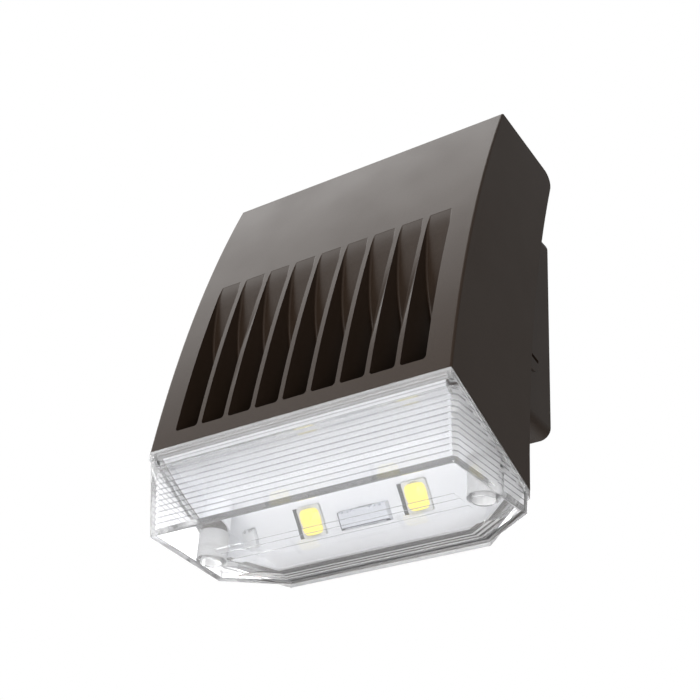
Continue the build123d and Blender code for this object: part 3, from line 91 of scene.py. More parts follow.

CLEAR_SHARE = 0.97  # how much of the clear plastic is clear where nothing makes it milky
SOLID_SHARE = 0.94  # how much of the clear plastic bends light; the rest lets it straight through

# Shape of a phosphor face, as shares of its width, apart from the dome, a share of its thickness
PHOSPHOR_RATIO = 0.92
PHOSPHOR_CORNER = 0.24
PHOSPHOR_EDGE = 0.05
PHOSPHOR_DOME = 0.25
CORNER_STEPS = 6

# Studio: name, place, aim and size of each lamp in metres, and the stage's setting for its power
LAMPS = (
    ("top_lamp", (-0.7, 0.15, 1.3), (0.0, -0.05, 0.0), 2.0, "top_power"),
    ("front_lamp", (-0.9, -1.1, 0.7), (0.0, -0.05, -0.05), 1.0, "front_power"),
    ("low_lamp", (0.3, -0.9, -0.5), (0.0, -0.05, -0.05), 0.9, "low_power"),
    ("rear_lamp", (-0.8, 1.8, 0.5), (0.0, 0.0, 0.0), 1.4, "rear_power"),
)
FLOOR_SIZE = 30.0

# Camera fitted to the photograph: its place in metres, and where its right, up and back point
CAMERA_PLACE = (0.290757, -0.457726, -0.328993)
CAMERA_RIGHT = (0.829569, 0.555234, 0.059418)
CAMERA_UP = (0.253379, -0.469106, 0.846013)
CAMERA_BACK = (0.497609, -0.686771, -0.529841)
SENSOR_WIDTH = 36.0  # mm


# ---------------------------------------------------------------------------------------------- settings
class WallLightFinish(bpy.types.PropertyGroup):
    """Colours and surface grain of the light."""

    coat_colour: FloatVectorProperty(
        name="Coat colour", description="Dark bronze powder coat on both castings", subtype="COLOR", size=3,
        min=0, max=1, default=(0.0190, 0.0115, 0.0070))
    coat_light: FloatVectorProperty(
        name="Coat high spots", description="Colour of the coat where the grain catches light", subtype="COLOR",
        size=3, min=0, max=1, default=(0.028, 0.0178, 0.0120))
    coat_roughness: FloatProperty(
        name="Coat roughness", description="Roughness of the powder coat", min=0, max=1, default=0.33)
    coat_grain: FloatProperty(
        name="Coat grain", description="Size of the coat's fine orange-peel grain", unit="LENGTH",
        min=0.0001, default=0.00055)
    # Painted shade: colour of the coat deep in the cooling pockets
    painted_pocket_shade: FloatVectorProperty(
        name="Pocket shade", description="Coat colour deep in the cooling pockets", subtype="COLOR", size=3,
        min=0, max=1, default=(0.0035, 0.0024, 0.0018))
    pocket_depth: FloatProperty(
        name="Pocket depth", description="Depth behind the face at which the pockets are darkest", unit="LENGTH",
        min=0.005, default=0.022)
    lens_tint: FloatVectorProperty(
        name="Lens tint", description="Tint of the clear lens plastic", subtype="COLOR", size=3,
        min=0, max=1, default=(0.982, 0.984, 0.991))
    # Painted shade: dark lines on the lens along its steep prism faces
    painted_prism_shade: FloatVectorProperty(
        name="Prism shade", description="Shade of the lens's steep prism faces", subtype="COLOR", size=3,
        min=0, max=1, default=(0.37, 0.37, 0.39))
    prism_top: FloatProperty(
        name="First prism", description="Height of the first prism line", unit="LENGTH", default=-0.0706)
    prism_pitch: FloatProperty(
        name="Prism pitch", description="Height from one prism line to the next", unit="LENGTH",
        min=0.0005, default=0.00235)
    prism_line: FloatProperty(
        name="Prism line", description="Share of the pitch that reads as a line", subtype="FACTOR", min=0, max=1,
        default=0.21)
    prism_rows: IntProperty(name="Prisms", description="Prisms on each wall", min=1, default=12)
    prism_haze: FloatProperty(
        name="Side haze", description="How milky the side prisms and the screw wells are", subtype="FACTOR", min=0,
        max=0.97, default=0.6)
    edge_haze: FloatProperty(
        name="Edge haze", description="How milky the flange and the rear wall are", subtype="FACTOR", min=0,
        max=0.97, default=0.2)
    # Painted shade: dark bands on the lens over the ridges behind the window
    painted_ridge_shade: FloatVectorProperty(
        name="Ridge shade", description="Shade of the ridges behind the window", subtype="COLOR", size=3,
        min=0, max=1, default=(0.05, 0.034, 0.026))
    ridge_corner: FloatProperty(
        name="Ridge corner", description="Distance of the slanting rear corner of the rim from the middle",
        unit="LENGTH", default=0.007785)
    lens_ior: FloatProperty(
        name="Lens refraction", description="Refractive index of the lens plastic", min=1, max=2.5, default=1.5)
    sheet_colour: FloatVectorProperty(
        name="Reflector colour", description="White of the reflector sheet", subtype="COLOR", size=3,
        min=0, max=1, default=(0.965, 0.975, 1.0))
    phosphor_width: FloatProperty(
        name="Phosphor width", description="Width of each emitter's yellow face", unit="LENGTH", min=0.002,
        default=0.0094)
    phosphor_height: FloatProperty(
        name="Phosphor height", description="Thickness of each yellow face", unit="LENGTH", min=0.0001,
        default=0.0003)
    # Painted shade: dark strips on the reflector beside the emitters
    painted_side_shade: FloatVectorProperty(
        name="Slot shade", description="Dark of the relief slots beside the emitters", subtype="COLOR", size=3,
        min=0, max=1, default=(0.012, 0.011, 0.010))
    phosphor_colour: FloatVectorProperty(
        name="Phosphor colour", description="Yellow face of the emitters", subtype="COLOR", size=3,
        min=0, max=1, default=(1.0, 0.86, 0.13))


class WallLightStage(bpy.types.PropertyGroup):
    """Studio, lamps and camera."""

    floor_drop: FloatProperty(
        name="Floor drop", description="Floor level below the middle of the light", unit="LENGTH",
        min=0.2, default=1.1)
    room_level: FloatProperty(
        name="Room light", description="Strength of the even room light", min=0, default=0.27)
    top_power: FloatProperty(
        name="Top power", description="Power of the large lamp overhead", subtype="POWER", unit="POWER",
        min=0, default=24.0)
    front_power: FloatProperty(
        name="Front power", description="Power of the lamp in front, to the left", subtype="POWER", unit="POWER",
        min=0, default=1.8)
    low_power: FloatProperty(
        name="Low power", description="Power of the low lamp under the lens", subtype="POWER", unit="POWER",
        min=0, default=13.0)
    rear_power: FloatProperty(
        name="Rear power", description="Power of the lamp behind the light", subtype="POWER", unit="POWER",
        min=0, default=26.0)
    floor_white: FloatProperty(
        name="Floor white", description="How much of the floor's look is plain white", subtype="FACTOR", min=0,
        max=1, default=0.82)
    lens_length: FloatProperty(
        name="Camera lens", description="Focal length for a 36 mm wide picture", subtype="DISTANCE_CAMERA",
        min=10, default=72.342)


# ---------------------------------------------------------------------------------------------- node helpers
class Nodes:
    """Small builder for one material's node tree."""

    def __init__(self, name):
        self.material = bpy.data.materials.new(name)
        self.material.use_nodes = True
        self.tree = self.material.node_tree
        self.tree.nodes.clear()
        self.out = self.add("ShaderNodeOutputMaterial", 900, 0)
        self.shader = self.add("ShaderNodeBsdfPrincipled", 600, 0)
        self.link(self.shader, "BSDF", self.out, "Surface")
        self.place = self.add("ShaderNodeTexCoord", -900, 0)

    def add(self, kind, x=0, y=0, **values):
        """New node of a kind at a place in the editor, with its own properties set."""
        node = self.tree.nodes.new(kind)
        node.location = (x, y)
        for key, value in values.items():
            setattr(node, key, value)
        return node

    def link(self, a, a_socket, b, b_socket):
        """Joins an output of node a to an input of node b."""
        self.tree.links.new(a.outputs[a_socket], b.inputs[b_socket])

    def set(self, **values):
        """Constants on the shader's own sockets, by name with underscores for spaces."""
        for key, value in values.items():
            socket = self.shader.inputs[key.replace("_", " ")]
            socket.default_value = (*value, 1.0) if hasattr(value, "__len__") and len(value) == 3 \
                and socket.type == "RGBA" else value

    def noise(self, size, detail=3.0, y=-250, stretch=None):
        """Noise on Object coordinates whose blobs are about size wide; stretch scales it by axis."""
        node = self.add("ShaderNodeTexNoise", -650, y)
        node.inputs["Scale"].default_value = 1.0 / size
        node.inputs["Detail"].default_value = detail
        if stretch:
            mapping = self.add("ShaderNodeMapping", -850, y)
            mapping.inputs["Scale"].default_value = stretch
            self.link(self.place, "Object", mapping, "Vector")
            self.link(mapping, "Vector", node, "Vector")
        else:
            self.link(self.place, "Object", node, "Vector")
        return node

    def ramp(self, source, socket, stops, steps=False):
        """Colour ramp over (position, colour) stops."""
        node = self.add("ShaderNodeValToRGB", -350, 150)
        ramp = node.color_ramp
        ramp.interpolation = "CONSTANT" if steps else "LINEAR"
        while len(ramp.elements) < len(stops):
            ramp.elements.new(0.5)
        for element, (position, colour) in zip(ramp.elements, stops):
            element.position = position
            element.color = (*colour, 1.0) if len(colour) == 3 else colour
        self.link(source, socket, node, "Fac")
        return node

    def math(self, operation, a, b=0.0):
        """Math node on two values, each a number or a (node, socket) pair; gives its own such pair."""
        node = self.add("ShaderNodeMath", -500, -500, operation=operation)
        for index, value in enumerate((a, b)):
            if isinstance(value, tuple):
                self.tree.links.new(value[0].outputs[value[1]], node.inputs[index])
            else:
                node.inputs[index].default_value = value
        return node, "Value"

    def split(self, socket):
        """The x, y and z of one of the texture coordinate's outputs, as (node, socket) pairs."""
        node = self.add("ShaderNodeSeparateXYZ", -700, -500)
        self.link(self.place, socket, node, "Vector")
        return [(node, axis) for axis in "XYZ"]

    def above(self, value, low):
        """Mask that is 1 where the value is more than low."""
        return self.math("GREATER_THAN", value, low)

    def below(self, value, high):
        """Mask that is 1 where the value is less than high."""
        return self.math("LESS_THAN", value, high)

    def between(self, value, low, high):
        """Mask that is 1 where the value is between low and high."""
        return self.times(self.above(value, low), self.below(value, high))

    def times(self, first, *others):
        """Product of values; for masks, where all of them are 1."""
        for other in others:
            first = self.math("MULTIPLY", first, other)
        return first

    def most(self, first, *others):
        """Largest of the values; for masks, where any of them is 1."""
        for other in others:
            first = self.math("MAXIMUM", first, other)
        return first

    def fade(self, value, low, high):
        """0 to 1 as the value goes from low to high, and held beyond them."""
        span = self.math("DIVIDE", self.math("SUBTRACT", value, low), high - low)
        span[0].use_clamp = True
        return span

    def colour(self):
        """What the base colour comes from now, as a (node, output) pair."""
        source = self.shader.inputs["Base Color"].links[0].from_socket
        return source.node, list(source.node.outputs).index(source)

    def blend(self, mask, a, b):
        """Base colour a, or b where the mask is 1; each is a colour or a (node, output) pair."""
        node = self.add("ShaderNodeMix", 350, 200, data_type="RGBA")
        self.tree.links.new(mask[0].outputs[mask[1]], node.inputs["Factor"])
        for name, value in (("A", a), ("B", b)):
            socket = [i for i in node.inputs if i.name == name and i.type == "RGBA"][0]
            if isinstance(value[0], bpy.types.Node):
                self.tree.links.new(value[0].outputs[value[1]], socket)
            else:
                socket.default_value = (*value, 1.0)
        result = [o for o in node.outputs if o.type == "RGBA"][0]
        self.tree.links.new(result, self.shader.inputs["Base Color"])

    def mottle(self, noise, dark, colour):
        """Base colour from dark to colour as the noise goes from 0.3 to 0.7; dark is a share of the colour."""
        tone = self.ramp(noise, "Fac", [(0.3, [channel * dark for channel in colour]), (0.7, colour)])
        self.link(tone, "Color", self.shader, "Base Color")

    def gloss(self, noise, low, high):
        """Roughness from low to high as the noise goes from 0.3 to 0.7."""
        node = self.add("ShaderNodeMapRange", -350, -200)
        for name, value in (("From Min", 0.3), ("From Max", 0.7), ("To Min", low), ("To Max", high)):
            node.inputs[name].default_value = value
        self.link(noise, "Fac", node, "Value")
        self.link(node, "Result", self.shader, "Roughness")

    def bump(self, noise, height, strength, base=None):
        """Bump of the given height in metres, on top of the bump node base if there is one."""
        node = self.add("ShaderNodeBump", 420 if base else 300, -300)
        node.inputs["Strength"].default_value = strength
        node.inputs["Distance"].default_value = height
        self.link(noise, "Fac", node, "Height")
        if base:
            self.link(base, "Normal", node, "Normal")
        self.link(node, "Normal", self.shader, "Normal")
        return node


def coat(mesh, look):
    """Gives a mesh the material of a look, which is a Nodes builder, and no other."""
    mesh.materials.clear()
    mesh.materials.append(look.material)


def dress(look, *names):
    """Gives CAD nodes the material of a look."""
    for name in names:
        coat(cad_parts[name].data, look)


def lamp_direction(name):
    """Outward direction of the lamp plate, from the widest downward face of a CAD node on it."""
    downward = [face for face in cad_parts[name].data.polygons if face.normal.z < -FACING]
    return max(downward, key=lambda face: face.area).normal.normalized()


# ---------------------------------------------------------------------------------------------- finishes
def powder_coat(name, finish, pockets=False):
    """Dark bronze powder coat: fine orange peel over a slow unevenness; with pockets, painted shade darkens it deep
    in the cooling pockets.
    """
    n = Nodes(name)
    grain = n.noise(finish.coat_grain, 4.0, y=100)
    slow = n.noise(0.03, 2.0)
    colour = n.ramp(grain, "Fac", [(0.32, finish.coat_colour), (0.72, finish.coat_light)])
    if pockets:
        # Painted shade: the coat darkens with depth behind the face, within the field of pockets
        x, y, z = n.split("Object")
        deep = n.math("SUBTRACT", n.times(n.math("SUBTRACT", y, FACE_FOOT[0]), FACE_LEAN[0]),
                      n.times(n.math("SUBTRACT", z, FACE_FOOT[1]), FACE_LEAN[1]))
        half_width, top = POCKET_SPAN
        field = n.times(n.below(n.math("ABSOLUTE", x), half_width), n.below(z, top), n.below(deep, POCKET_FLOOR))
        shade = n.times(n.fade(deep, POCKET_START, finish.pocket_depth), field)
        n.blend(shade, (colour, "Color"), tuple(finish.painted_pocket_shade))
    else:
        n.link(colour, "Color", n.shader, "Base Color")
    n.gloss(slow, finish.coat_roughness - 0.03, finish.coat_roughness + 0.05)
    n.bump(slow, 0.0004, 0.12, base=n.bump(grain, 0.00002, 0.35))
    n.set(Specular_IOR_Level=0.5, Specular_Tint=(1.0, 0.89, 0.82))
    return n


def clear_plastic(name, finish, roughness=0.0):
    """Clear moulded plastic with faintly uneven gloss."""
    n = Nodes(name)
    n.gloss(n.noise(0.02, 2.0, stretch=(1.0, 1.0, 2.5)), roughness, roughness + 0.004)
    n.set(Base_Color=tuple(finish.lens_tint), Transmission_Weight=CLEAR_SHARE, IOR=finish.lens_ior, Alpha=SOLID_SHARE)
    return n


def prism_plastic(name, finish):
    """The lens plastic: painted shade in a dark line along each prism of the front and side walls and in dark bands
    over the ridges along the rear, and a milky skin on the side prisms, the screw wells, the gaps between the ridges
    and the edges."""
    n = clear_plastic(name, finish)
    x, y, z = n.split("Object")
    wide = n.math("ABSOLUTE", x)

    # Prism lines of painted shade, on the faces of the walls that look into the lens; a back face's normal comes
    # turned round
    away, fore, _ = n.split("Normal")
    turn = n.math("SUBTRACT", 1.0, n.times((n.add("ShaderNodeNewGeometry"), "Backfacing"), 2.0))
    front = n.times(n.above(n.times(fore, turn), FACING), n.below(y, FRONT_WALL), n.below(wide, FRONT_END))
    inward = n.below(n.times(away, turn, n.math("SIGN", x)), -FACING)
    side = n.times(inward, n.above(wide, SIDE_WALL))
    depth = n.math("DIVIDE", n.math("SUBTRACT", finish.prism_top, z), finish.prism_pitch)
    rows = n.between(depth, 0.0, finish.prism_rows)
    line = n.times(n.below(n.math("FRACT", depth), finish.prism_line), rows)
    wall = n.most(front, n.times(side, n.above(y, SIDE_START)))
    n.blend(n.times(wall, line), tuple(finish.lens_tint), tuple(finish.painted_prism_shade))

    # Dark bands of painted shade over the ridges, counted inwards from the rear wall and its slanting corners
    corner = n.math("SUBTRACT", finish.ridge_corner,
                    n.math("ADD", n.times(wide, CORNER_LEAN[0]), n.times(y, CORNER_LEAN[1])))
    inside = n.math("MINIMUM", n.math("SUBTRACT", REAR_WALL, y), corner)
    step = n.math("DIVIDE", n.math("SUBTRACT", inside, RIDGE_INSET), RIDGE_PITCH)
    ridge = n.times(n.below(n.math("FRACT", step), RIDGE_SHARE), n.between(step, 0.0, RIDGE_ROWS))
    ridge = n.most(ridge, n.between(step, *RIDGE_LAST))
    top = n.times(n.between(z, *RIDGE_LEVEL), n.above(y, RIDGE_END))
    n.blend(n.times(ridge, top), n.colour(), tuple(finish.painted_ridge_shade))

    # Milky parts
    across = n.math("SUBTRACT", wide, WELL_PLACE[0])
    along = n.math("SUBTRACT", y, WELL_PLACE[1])
    reach = n.math("SQRT", n.math("ADD", n.times(across, across), n.times(along, along)))
    well = n.times(n.below(reach, WELL_REACH), n.above(z, WELL_FOOT))
    gaps = n.times(n.between(step, 0.0, RIDGE_LAST[0]), top, n.math("SUBTRACT", 1.0, ridge))
    milky = n.most(well, n.times(side, rows), gaps)
    rise = n.math("ADD", n.math("SUBTRACT", z, FACE_FOOT[1]), n.times(n.math("SUBTRACT", y, FACE_FOOT[0]), RIM_LEAN))
    edge = n.most(n.above(rise, RIM_FLANGE), n.below(inside, WALL_EDGE))
    haze = n.most(n.times(milky, finish.prism_haze), n.times(edge, finish.edge_haze))
    clear = n.math("SUBTRACT", CLEAR_SHARE, haze)
    n.link(*clear, n.shader, "Transmission Weight")
    return n


def white_sheet(name, colour, roughness=0.38):
    """White coated sheet with a slight roll unevenness."""
    n = Nodes(name)
    slow = n.noise(0.025, 2.0, stretch=(1.0, 3.0, 3.0))
    n.mottle(slow, 0.97, colour)
    n.gloss(slow, roughness - 0.04, roughness + 0.04)
    n.bump(slow, 0.0002, 0.05)
    return n


def sheet_with_side_shade(name, finish, chips):
    """The reflector's white sheet with a strip of painted shade beside each emitter; chips is the emitters' box."""
    n = white_sheet(name, tuple(finish.sheet_colour))
    x, y, z = n.split("Object")
    low, high = chips
    height = n.between(z, low.z + SIDE_SHADE_CLEAR, high.z - SIDE_SHADE_CLEAR)
    forward = n.between(y, low.y - SIDE_SHADE_REACH[0], high.y + SIDE_SHADE_REACH[1])
    left = n.between(x, low.x - SIDE_SHADE_LEFT[1], low.x - SIDE_SHADE_LEFT[0])
    right = n.between(x, -low.x - SIDE_SHADE_RIGHT[1], -low.x - SIDE_SHADE_RIGHT[0])
    # Painted shade in strips beside the emitters
    n.blend(n.times(height, forward, n.most(left, right)), n.colour(), tuple(finish.painted_side_shade))
    return n


def moulded(name, colour, roughness, grain=0.0006):
    """Plain moulded plastic or rubber with a fine skin."""
    n = Nodes(name)
    skin = n.noise(grain)
    n.mottle(skin, 0.9, colour)
    n.gloss(skin, roughness - 0.05, roughness + 0.05)
    n.bump(skin, 0.00001, 0.5)
    return n


def housing_with_edge_shade(name, colour, low):
    """Connector moulding with painted shade along its left and lower edges; low is its lowest corner."""
    n = moulded(name, colour, 0.3)
    x, _, z = n.split("Object")
    # Painted shade along the connector's left and lower edges
    edge = n.most(n.below(z, low.z + BRIDGE_SHADE[1]), n.below(x, low.x + BRIDGE_SHADE[0]))
    n.blend(edge, n.colour(), (0.03, 0.03, 0.045))
    return n


def turned_metal(name, colour, roughness, grain=(1.0, 1.0, 1.0)):
    """Machined or rolled metal with fine lines across the given axis scales."""
    n = Nodes(name)
    lines = n.noise(0.0008, stretch=grain)
    n.mottle(lines, 0.86, colour)
    n.gloss(lines, roughness - 0.07, roughness + 0.07)
    n.bump(lines, 0.00001, 0.4)
    n.set(Metallic=1.0)
    return n


def banded_insulation(name, edges, colours):
    """Wire insulation whose colour changes from wire to wire, by position along y."""
    n = Nodes(name)
    _, across, _ = n.split("Object")
    spread = n.add("ShaderNodeMapRange", -500, 150)
    spread.inputs["From Min"].default_value = edges[0]
    spread.inputs["From Max"].default_value = edges[-1]
    n.link(*across, spread, "Value")
    width = edges[-1] - edges[0]
    stops = [((edge - edges[0]) / width, colour) for edge, colour in zip(edges, colours)]
    n.link(n.ramp(spread, "Result", stops, steps=True), "Color", n.shader, "Base Color")
    skin = n.noise(0.0008, 2.0)
    n.gloss(skin, 0.32, 0.42)
    n.bump(skin, 0.00001, 0.4)
    return n


def phosphor_face(name, colour):
    """Yellow phosphor, faintly speckled, that glows a little."""
    n = Nodes(name)
    grain = n.noise(0.0004, 4.0)
    n.mottle(grain, 0.94, colour)
    n.bump(grain, 0.00002, 0.3)
    n.set(Roughness=0.35, Emission_Color=tuple(colour), Emission_Strength=0.7)
    return n


# ---------------------------------------------------------------------------------------------- operators
class WALLLIGHT_OT_castings(bpy.types.Operator):
    """Powder coat on the front housing, with painted shade deep in its cooling pockets, the back box and its conduit
    plugs
    """

    bl_idname = "walllight.castings"
    bl_label = "Coat the castings"
    bl_options = {"REGISTER", "UNDO"}

    def execute(self, context):
        finish = context.scene.wall_light_finish
        dress(powder_coat("bronze_coat_face", finish, pockets=True), "front_housing")
        dress(powder_coat("bronze_coat", finish), "back_box", "conduit_plugs")
        return {"FINISHED"}


class WALLLIGHT_OT_lens(bpy.types.Operator):
    """Clear plastic on the prismatic lens, with painted shade along its prisms and over its rear ridges"""

    bl_idname = "walllight.lens"
    bl_label = "Clear the lens"
    bl_options = {"REGISTER", "UNDO"}

    def execute(self, context):
        dress(prism_plastic("clear_lens", context.scene.wall_light_finish), "lens")
        return {"FINISHED"}


class WALLLIGHT_OT_lamp(bpy.types.Operator):
    """Reflector sheet with painted shade beside the emitters, lamp boards, emitters and their connectors"""

    bl_idname = "walllight.lamp"
    bl_label = "Finish the lamp parts"
    bl_options = {"REGISTER", "UNDO"}

    def execute(self, context):
        finish = context.scene.wall_light_finish
        dress(sheet_with_side_shade("white_sheet", finish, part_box("led_packages")), "reflector")
        dress(white_sheet("white_board", (0.8, 0.82, 0.82), 0.3), "led_board_left", "led_board_right")
        dress(moulded("chip_body", (0.85, 0.85, 0.82), 0.4), "led_packages")
        dress(phosphor_face("phosphor", tuple(finish.phosphor_colour)), "led_phosphors")
        dress(clear_plastic("clear_silicone", finish, 0.02), "led_domes")
        dress(moulded("connector_white", (0.82, 0.83, 0.84), 0.35), "lead_terminal")
        bridge_corner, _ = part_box("bridge_connector")
        dress(housing_with_edge_shade("bridge_white", (0.82, 0.84, 0.9), bridge_corner), "bridge_connector")
        dress(moulded("thermal_grey", (0.35, 0.37, 0.4), 0.7), "thermal_pad")
        return {"FINISHED"}


class WALLLIGHT_OT_phosphors(bpy.types.Operator):
    """Rounded phosphor face of each emitter, a little domed"""

    bl_idname = "walllight.phosphors"
    bl_label = "Model the phosphor faces"
    bl_options = {"REGISTER", "UNDO"}

    def execute(self, context):
        finish = context.scene.wall_light_finish
        right = self.rounded_pad(finish.phosphor_width, finish.phosphor_height)
        middle, turn = self.seat("led_phosphors")
        right.data.transform(Matrix.Translation(middle) @ turn)
        left = right.copy()
        left.data = right.data.copy()
        context.scene.collection.objects.link(left)
        left.data.transform(Matrix.Translation((-2 * middle.x, 0, 0)))
        bpy.ops.object.select_all(action="DESELECT")
        left.select_set(True)
        right.select_set(True)
        context.view_layer.objects.active = right
        bpy.ops.object.join()
        right.name = "phosphor_faces"
        coat(right.data, phosphor_face("phosphor_skin", tuple(finish.phosphor_colour)))
        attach(right, "door")
        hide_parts("led_phosphors")
        return {"FINISHED"}

    def seat(self, name):
        """Middle of the right face of a CAD node on the lamp plate, and the turn from flat to the plate."""
        right = [vertex.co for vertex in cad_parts[name].data.vertices if vertex.co.x > 0]
        normal = lamp_direction(name)
        middle = Vector([(min(values) + max(values)) / 2 for values in zip(*right)])
        middle += normal * (max(normal.dot(point) for point in right) - normal.dot(middle))
        across = Vector((1, 0, 0))
        return middle, Matrix((across, normal.cross(across).normalized(), normal)).transposed().to_4x4()

    def rounded_pad(self, width, height):
        """Pad with rounded corners whose top, at z = 0, rises to a low dome."""
        bpy.ops.object.select_all(action="DESELECT")
        bpy.ops.mesh.primitive_cube_add(size=1.0)
        pad = bpy.context.object
        bpy.ops.object.mode_set(mode="EDIT")
        bpy.ops.mesh.select_all(action="SELECT")
        bpy.ops.transform.resize(value=(width, width * PHOSPHOR_RATIO, height))
        bpy.ops.transform.translate(value=(0, 0, -height / 2))
        self.pick(pad, "EDGE", lambda mesh: mesh.edges, self.upright)
        bpy.ops.mesh.bevel(offset=width * PHOSPHOR_CORNER, segments=CORNER_STEPS)
        self.pick(pad, "FACE", lambda mesh: mesh.faces, lambda face: face.normal.z > 0.9)
        bpy.ops.mesh.inset(thickness=width * PHOSPHOR_EDGE)
        bpy.ops.transform.translate(value=(0, 0, height * PHOSPHOR_DOME))
        bpy.ops.object.mode_set(mode="OBJECT")
        return pad

    def upright(self, edge):
        """Whether an edge stands along z."""
        a, b = (vertex.co for vertex in edge.verts)
        return abs(a.x - b.x) < 1e-6 and abs(a.y - b.y) < 1e-6

    def pick(self, pad, mode, items, wanted):
        """Selects the wanted edges or faces of the mesh in edit mode, and nothing else."""
        bpy.ops.mesh.select_mode(type=mode)
        bpy.ops.mesh.select_all(action="DESELECT")
        mesh = bmesh.from_edit_mesh(pad.data)
        for item in items(mesh):
            item.select_set(wanted(item))
        bmesh.update_edit_mesh(pad.data)


class WALLLIGHT_OT_driver(bpy.types.Operator):
    """Driver, leads and connectors in the chamber"""

    bl_idname = "walllight.driver"
    bl_label = "Finish the driver and leads"
    bl_options = {"REGISTER", "UNDO"}

    def execute(self, context):
        dress(turned_metal("driver_shell", (0.62, 0.63, 0.65), 0.42, (0.2, 1.0, 6.0)), "driver_case", "driver_lid")
        dress(moulded("potting", (0.05, 0.05, 0.055), 0.45), "driver_potting")
        dress(moulded("connector_amber", (0.75, 0.33, 0.06), 0.3), "wire_connectors")
        low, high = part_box("supply_leads")
        step = (high.y - low.y) / 3
        edges = [low.y - step, low.y + step, high.y - step, high.y + step]
        colours = [(0.015, 0.015, 0.016), (0.78, 0.78, 0.76), (0.03, 0.3, 0.07), (0.03, 0.3, 0.07)]
        dress(banded_insulation("supply_insulation", edges, colours), "supply_leads")
        dress(moulded("led_insulation", (0.5, 0.03, 0.025), 0.35), "led_leads")
        return {"FINISHED"}


class WALLLIGHT_OT_hardware(bpy.types.Operator):
    """Screws, pins, clips, gaskets and the grommet"""

    bl_idname = "walllight.hardware"
    bl_label = "Finish the hardware and seals"
    bl_options = {"REGISTER", "UNDO"}

    def execute(self, context):
        bright = turned_metal("bright_steel", (0.62, 0.61, 0.6), 0.3)
        dark = turned_metal("dark_steel", (0.12, 0.115, 0.11), 0.36)
        dress(bright, "hinge_pins", "hinge_clips", "driver_screws", "board_screws", "lens_screws")
        dress(dark, "lock_screw_left", "lock_screw_right")
        dress(moulded("ground_green", (0.02, 0.2, 0.05), 0.35), "ground_screw")
        black = moulded("black_rubber", (0.018, 0.018, 0.019), 0.7, 0.0009)
        dress(black, "door_gasket", "lens_gasket", "lead_grommet")
        dress(moulded("grey_silicone", (0.42, 0.43, 0.44), 0.65, 0.0012), "wall_gasket")
        return {"FINISHED"}


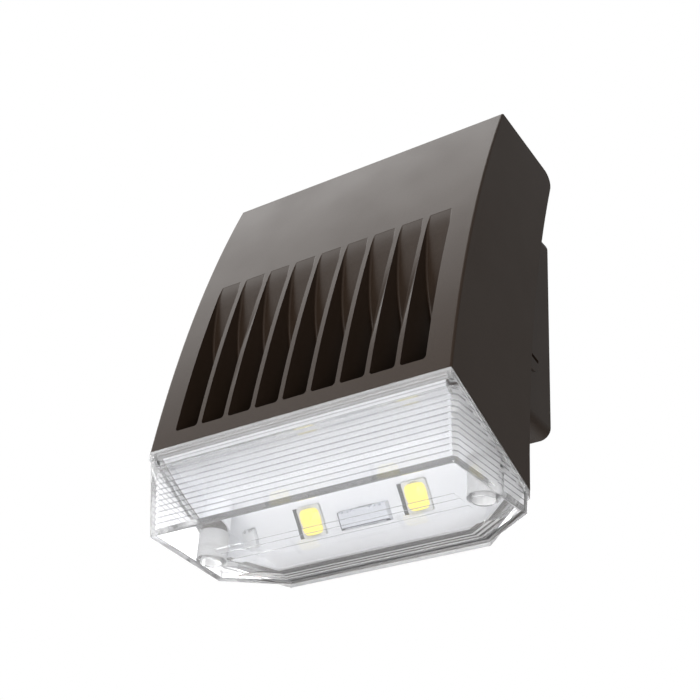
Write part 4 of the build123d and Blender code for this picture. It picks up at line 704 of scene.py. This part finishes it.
class WALLLIGHT_OT_stage(bpy.types.Operator):
    """Floor, room light, lamps and the photograph's camera"""

    bl_idname = "walllight.stage"
    bl_label = "Set the stage"
    bl_options = {"REGISTER", "UNDO"}

    def execute(self, context):
        stage = context.scene.wall_light_stage
        self.floor(stage)
        self.room(stage)
        for name, place, target, size, power in LAMPS:
            self.lamp(name, place, target, size, getattr(stage, power))
        self.camera(stage)
        return {"FINISHED"}

    def floor(self, stage):
        """Pale floor that keeps the shadow; partly plain white to the camera, and wholly through clear parts."""
        bpy.ops.object.select_all(action="DESELECT")
        bpy.ops.mesh.primitive_plane_add(size=FLOOR_SIZE, location=(0, 0, -stage.floor_drop))
        floor = bpy.context.object
        floor.name = "studio_floor"
        n = Nodes("floor_paint")
        tone = n.noise(0.4, 2.0)
        colour = n.ramp(tone, "Fac", [(0.0, (0.70, 0.70, 0.70)), (1.0, (0.74, 0.74, 0.74))])
        n.link(colour, "Color", n.shader, "Base Color")
        n.set(Roughness=0.8)
        path = n.add("ShaderNodeLightPath", 600, 300)
        white = n.add("ShaderNodeEmission", 600, -300)
        through = n.add("ShaderNodeMixShader", 800, 0)
        seen = n.most(n.math("MINIMUM", (path, "Transmission Depth"), 1.0),
                      n.times((path, "Is Camera Ray"), stage.floor_white))
        n.link(*seen, through, "Fac")
        n.tree.links.new(n.shader.outputs["BSDF"], through.inputs[1])
        n.tree.links.new(white.outputs["Emission"], through.inputs[2])
        n.link(through, "Shader", n.out, "Surface")
        floor.data.materials.append(n.material)

    def room(self, stage):
        """White to the camera and through clear parts; a plain even light for everything else."""
        world = bpy.data.worlds.new("studio_room")
        bpy.context.scene.world = world
        world.use_nodes = True
        tree = world.node_tree
        tree.nodes.clear()
        path = tree.nodes.new("ShaderNodeLightPath")
        seen = tree.nodes.new("ShaderNodeMath")
        seen.operation = "MAXIMUM"
        seen.use_clamp = True
        tree.links.new(path.outputs["Is Camera Ray"], seen.inputs[0])
        tree.links.new(path.outputs["Transmission Depth"], seen.inputs[1])
        mix = tree.nodes.new("ShaderNodeMixShader")
        even = tree.nodes.new("ShaderNodeBackground")
        even.inputs["Color"].default_value = (1, 0.985, 0.97, 1)
        even.inputs["Strength"].default_value = stage.room_level
        white = tree.nodes.new("ShaderNodeBackground")
        white.inputs["Color"].default_value = (1, 1, 1, 1)
        white.inputs["Strength"].default_value = 1.0
        out = tree.nodes.new("ShaderNodeOutputWorld")
        tree.links.new(seen.outputs[0], mix.inputs["Fac"])
        tree.links.new(even.outputs[0], mix.inputs[1])
        tree.links.new(white.outputs[0], mix.inputs[2])
        tree.links.new(mix.outputs[0], out.inputs["Surface"])

    def lamp(self, name, place, target, size, power):
        """Square area lamp at a place, aimed at a target."""
        data = bpy.data.lights.new(name, "AREA")
        data.shape = "SQUARE"
        data.size = size
        data.energy = power
        lamp = bpy.data.objects.new(name, data)
        bpy.context.scene.collection.objects.link(lamp)
        lamp.location = place
        lamp.rotation_mode = "QUATERNION"
        lamp.rotation_quaternion = (Vector(target) - Vector(place)).to_track_quat("-Z", "Y")

    def camera(self, stage):
        """Camera fitted to the photograph."""
        data = bpy.data.cameras.new("photo_camera")
        data.sensor_width = SENSOR_WIDTH
        data.lens = stage.lens_length
        data.clip_start = 0.01
        data.clip_end = 20.0
        camera = bpy.data.objects.new("photo_camera", data)
        bpy.context.scene.collection.objects.link(camera)
        turn = Matrix((CAMERA_RIGHT, CAMERA_UP, CAMERA_BACK)).transposed().to_4x4()
        camera.matrix_world = Matrix.Translation(CAMERA_PLACE) @ turn
        scene = bpy.context.scene
        scene.camera = camera
        scene.view_settings.view_transform = "Standard"


class WALLLIGHT_PT_panel(bpy.types.Panel):
    """Settings and steps of the wall light"""

    bl_label = "Wall light"
    bl_idname = "WALLLIGHT_PT_panel"
    bl_space_type = "VIEW_3D"
    bl_region_type = "UI"
    bl_category = "Wall light"

    def draw(self, context):
        layout = self.layout
        for group in (context.scene.wall_light_finish, context.scene.wall_light_stage):
            box = layout.box()
            for key in group.bl_rna.properties.keys():
                if key not in {"rna_type", "name"}:
                    box.prop(group, key)
        for operator in STEPS:
            layout.operator(operator.bl_idname)


STEPS = (WALLLIGHT_OT_castings, WALLLIGHT_OT_lens, WALLLIGHT_OT_lamp, WALLLIGHT_OT_phosphors, WALLLIGHT_OT_driver,
         WALLLIGHT_OT_hardware, WALLLIGHT_OT_stage)
CLASSES = (WallLightFinish, WallLightStage, *STEPS, WALLLIGHT_PT_panel)


def register():
    for cls in CLASSES:
        bpy.utils.register_class(cls)
    bpy.types.Scene.wall_light_finish = PointerProperty(type=WallLightFinish)
    bpy.types.Scene.wall_light_stage = PointerProperty(type=WallLightStage)


def unregister():
    del bpy.types.Scene.wall_light_stage
    del bpy.types.Scene.wall_light_finish
    for cls in reversed(CLASSES):
        bpy.utils.unregister_class(cls)


def main():
    register()
    bpy.ops.walllight.castings()
    bpy.ops.walllight.lens()
    bpy.ops.walllight.lamp()
    bpy.ops.walllight.phosphors()
    bpy.ops.walllight.driver()
    bpy.ops.walllight.hardware()
    bpy.ops.walllight.stage()


if __name__ == "__main__":
    main()
